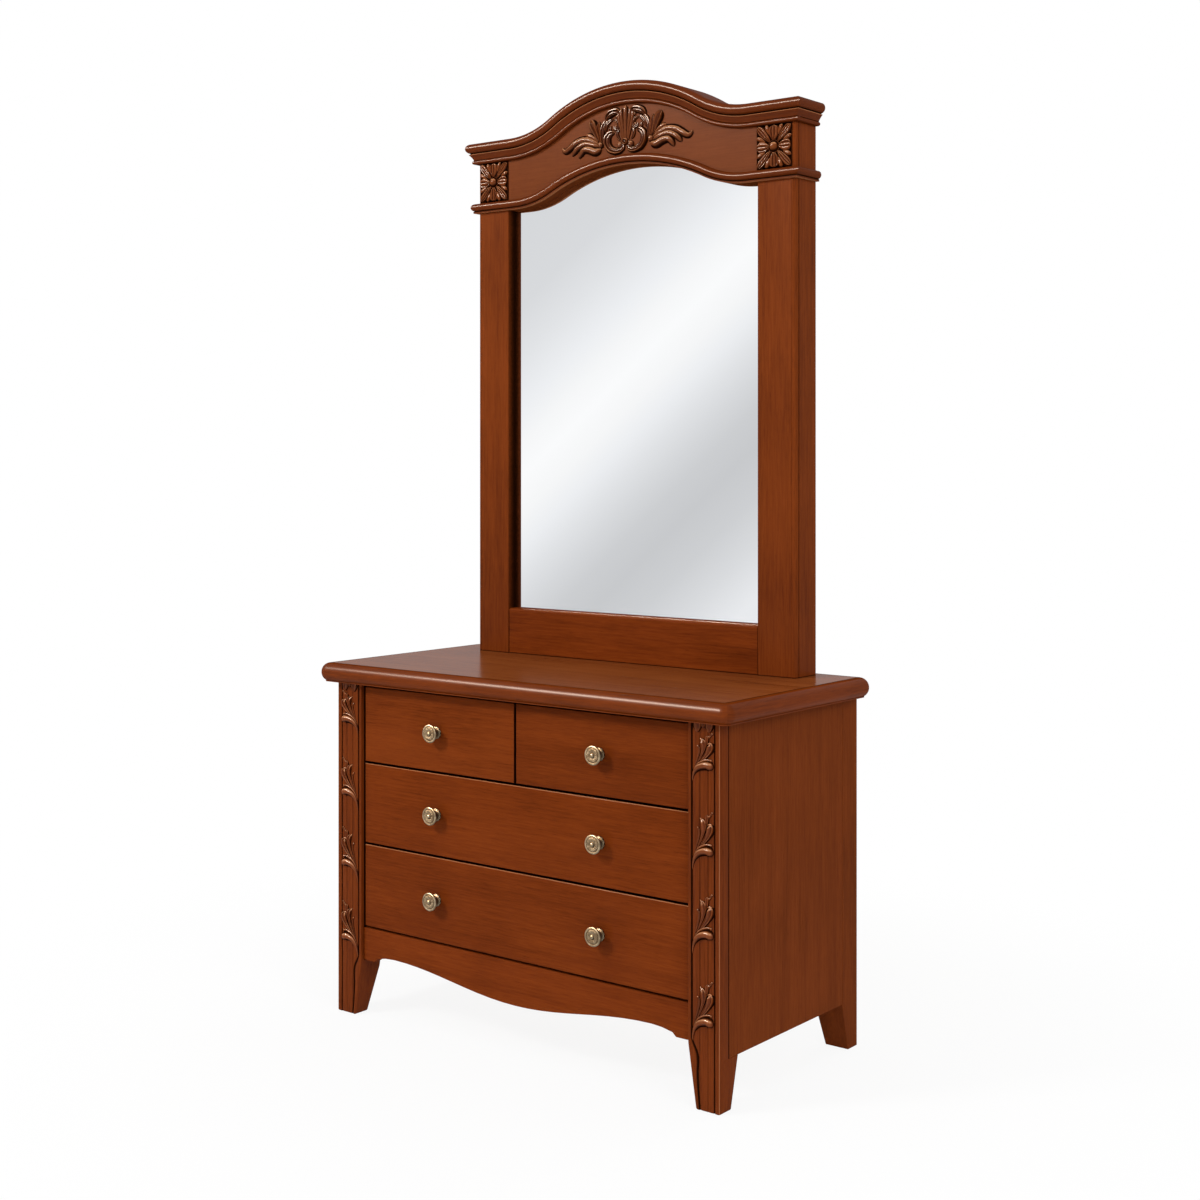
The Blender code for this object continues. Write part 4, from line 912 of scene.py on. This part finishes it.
# A seam lies a little inside a piece, along the neighbour that it meets
rail_ends = (("X", 0.0006 - mirror_inner_x), ("X", mirror_inner_x - 0.0006))
flat_wood = wood("stained_wood_level", "X", (3.4, 0.1, 0.7), middle=(116, 50, 15), light=(132, 60, 20))
rail_wood = wood("stained_wood_rail", "X", (3.9, 0.6, 0.2), middle=(120, 52, 15), light=(136, 62, 20),
                 seams=(*rail_ends, ("Z", top_height + 0.0008)))
top_wood = wood("stained_wood_top", "X", (4.2, 1.1, 0.3), dark=(96, 43, 15), middle=(124, 64, 27),
                light=(139, 75, 35), lacquer=0.36,
                seams=(("X", top_half_width - edging_seam), ("Y", top_edge_y + edging_seam)))
crest_wood = wood("stained_wood_crest", "X", (5.2, 0.4, 1.1), dark=(102, 48, 20), middle=(112, 55, 24),
                  light=(122, 61, 29), lacquer=0.09, seams=rail_ends)
post_wood = wood("stained_wood_upright", "Z", (0.2, 1.6, 0.5), dark=(82, 33, 9), middle=(108, 47, 14),
                 light=(122, 56, 18), lacquer=0.10, glazed_and_shaded=True)
mirror_post_wood = wood("stained_wood_mirror_post", "Z", (0.5, 2.6, 0.1), dark=(90, 37, 11),
                        middle=(116, 52, 16), light=(130, 60, 21), lacquer=0.08,
                        seams=(("Z", top_height + 0.0006),), glazed_and_shaded=True)
side_wood = wood("stained_wood_side", "Z", (0.9, 2.3, 0.1), dark=(94, 42, 15), middle=(114, 53, 20),
                 light=(128, 61, 25), lacquer=0.04,
                 seams=(("Y", face_y + front_post_depth - panel_lap + 0.0012),))
run_wood = wood("stained_wood_moulding", "X", (1.1, 0.2, 0.3), place="grain", dark=(80, 33, 9),
                middle=(98, 42, 12), light=(112, 50, 17), lacquer=0.12, glazed_and_shaded=True)
edging_wood = wood("stained_wood_edging", "X", (1.4, 0.6, 0.3), place="grain", dark=(80, 33, 9),
                   middle=(112, 48, 11), light=(126, 56, 16), lacquer=0.16, blur=0.30, glazed_and_shaded=True)
carved_wood = wood("carved_wood", "X", (0.4, 0.7, 0.2), place="grain", dark=(54, 22, 7), middle=(80, 35, 12),
                   light=(104, 49, 18), lacquer=0.20, blur=0.15, carved=True)
rosette_wood = wood("carved_wood_rosette", "X", (0.1, 0.9, 0.4), place="grain", dark=(66, 28, 9),
                    middle=(92, 41, 14), light=(112, 53, 20), lacquer=0.12, blur=0.15, carved=True)
spray_wood = wood("carved_wood_post", "X", (0.8, 0.3, 0.6), place="grain", dark=(72, 30, 9),
                  middle=(104, 46, 15), light=(124, 58, 21), lacquer=0.26, blur=0.15, carved=True)
unstained = ((150, 112, 72), (190, 152, 106), (212, 178, 132))
inner_wood = plain_wood("drawer_wood", "Y", unstained, 30.0)
divider_wood = plain_wood("divider_wood", "X", unstained, 30.0, stained_edge=(-0.188, -0.184))
plywood = plain_wood("plywood", "X", ((142, 106, 70), (178, 140, 98), (200, 166, 122)), 14.0)
brass = aged_brass()
mirror = silvered()

# The solids' own finishes, by the start of their names; the drawers' boxes and guides are unstained
finishes = {
    "front_post": post_wood, "rear_post": side_wood, "side_panel": side_wood, "apron": flat_wood,
    "top_panel": top_wood, "top_edging": edging_wood, "mirror_post": mirror_post_wood,
    "mirror_rail": rail_wood, "crest_board": crest_wood, "crest_bead": run_wood,
    "crown_moulding": run_wood, "rosette": rosette_wood, "crest_carving": carved_wood,
    "mirror_glass": mirror, "mirror_backboard": plywood, "back_panel": plywood,
}
for name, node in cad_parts.items():
    finish = next((made for start, made in finishes.items() if name.startswith(start)), inner_wood)
    front_of = name.removesuffix("_front")
    if front_of in drawer_woods:
        finish = drawer_woods[front_of]
    elif "_knob" in name:
        finish = brass
    elif name.endswith(("_divider", "_partition")):
        finish = divider_wood
    elif name.endswith("_bottom"):
        finish = plywood
    for material_slot in node.material_slots:
        material_slot.material = finish

# Pieces
for side, word in ((-1, "left"), (1, "right")):
    make_front_post(word, side, post_wood)
    carve_sprays("post_sprays_" + word, side, spray_wood)
    make_mirror_post(word, side, mirror_post_wood)
    make_rosette(word, side, rosette_wood)
for word, turn in (("front", -90), ("back", 90), ("left", 180), ("right", 0)):
    make_edging(word, turn, edging_wood)
make_crown(run_wood)
make_bead(run_wood)
carve_crest(carved_wood)
for body, made in drawer_woods.items():
    make_drawer_front(body + "_front", body, made)
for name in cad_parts:
    if "_knob" in name:
        make_knob(name, name.split("_knob")[0], brass)

# Floor, light and camera
shape = bmesh.new()
bmesh.ops.create_circle(shape, cap_ends=True, segments=96, radius=floor_radius)
mesh = bpy.data.meshes.new("floor")
shape.to_mesh(mesh)
shape.free()
floor = bpy.data.objects.new("floor", mesh)
bpy.context.scene.collection.objects.link(floor)
pale, start, shader = new_material("pale_floor", Roughness=0.9, Specular_IOR_Level=0.0)
shader.inputs["Base Color"].default_value = tone(244, 244, 243)
place = start.node("ShaderNodeTexCoord", output="Object")
away = start.node("ShaderNodeVectorMath", {0: place}, output="Value", operation="LENGTH")
path = start.node("ShaderNodeLightPath", output="Is Camera Ray")
mirrored_path = start.node("ShaderNodeLightPath", output="Is Glossy Ray")
# White to the camera and in the mirror, apart from the tenth near the feet that takes the shadow
lit = (path + mirrored_path) * (0.90 + away.over(0.55, 1.7) * 0.10)
glow = start.node("ShaderNodeEmission", {"Color": white, "Strength": 1.0})
mix = start.node("ShaderNodeMixShader", {0: lit, 1: Field(start.tree, shader.outputs[0]), 2: glow})
start.tree.links.new(mix.socket, pale.node_tree.nodes["Material Output"].inputs["Surface"])
mesh.materials.append(pale)


def lamp(name, place, width, height, power, colour=(1, 1, 1), lacquer=False):
    """A soft lamp that faces the middle of the table and lights it, or only shines in its lacquer."""
    light = bpy.data.lights.new(name, "AREA")
    light.shape = "RECTANGLE"
    light.size = width
    light.size_y = height
    light.energy = power
    light.color = colour
    if lacquer:
        light.cycles.max_bounces = 0
    made = bpy.data.objects.new(name, light)
    made.location = place
    made.visible_diffuse = not lacquer
    made.visible_glossy = lacquer
    made.rotation_euler = (Vector((0, 0, 0.85)) - Vector(place)).to_track_quat("-Z", "Y").to_euler()
    bpy.context.scene.collection.objects.link(made)


lamp("key_lamp", (-1.9, -3.4, 3.3), 0.9, 0.9, 118)
lamp("shine_lamp", (-2.4, -3.3, 3.6), 2.8, 0.9, 1200, (1.0, 0.84, 0.70), lacquer=True)
lamp("side_lamp", (3.6, -1.6, 2.6), 2.0, 2.0, 58)
lamp("back_lamp", (0.4, 3.4, 2.8), 2.0, 2.0, 40)

# A pale studio that the mirror shows as slanting bands of light and grey
world = bpy.data.worlds.new("studio")
world.use_nodes = True
bpy.context.scene.world = world
start = Field(world.node_tree)
way = start.node("ShaderNodeTexCoord", output="Generated")
turn = math.radians(camera_turn)
slanted = start.node("ShaderNodeVectorMath", {0: way, 1: (math.cos(turn), -math.sin(turn), -1.0)},
                     output="Value", operation="DOT_PRODUCT")
ahead = start.node("ShaderNodeVectorMath", {0: way, 1: (-math.sin(turn), -math.cos(turn), 0.0)},
                   output="Value", operation="DOT_PRODUCT")
band = start.node("ShaderNodeMapRange", {"Value": slanted / ahead, "From Min": -0.14, "From Max": 0.215})
greys = {0.0: 217, 0.17: 220, 0.25: 230, 0.33: 242, 0.39: 251, 0.44: 255, 0.50: 250, 0.55: 241, 0.60: 229,
         0.65: 218, 0.70: 208, 0.76: 203, 0.84: 209, 0.92: 222, 1.0: 237}
stops = []
for at, grey in greys.items():
    cool = 1 if grey < 250 else 0
    stops.append((at, tone(grey, grey + cool, grey + 3 * cool)))
walls = start.node("ShaderNodeValToRGB", {"Fac": band}, stops=stops)
seen = start.node("ShaderNodeLightPath", output="Is Camera Ray")
glossy = start.node("ShaderNodeLightPath", output="Is Glossy Ray")
through = start.node("ShaderNodeLightPath", output="Is Transmission Ray")
colour = glossy.mixed(white, walls)
# Half as bright on the table as where it is seen, mirrored or seen through glass
strength = 0.50 + seen * 0.50 + glossy * 0.50 + through * 0.50
background = world.node_tree.nodes["Background"]
feed(colour, background, "Color")
feed(strength, background, "Strength")

camera = bpy.data.cameras.new("camera")
camera.lens = camera_lens
camera.sensor_width = 36
camera.shift_x, camera.shift_y = camera_shift
viewer = bpy.data.objects.new("camera", camera)
viewer.location = camera_place
viewer.rotation_euler = (math.radians(90), 0, math.radians(camera_turn))
bpy.context.scene.collection.objects.link(viewer)
bpy.context.scene.camera = viewer
bpy.context.scene.view_settings.view_transform = "Standard"
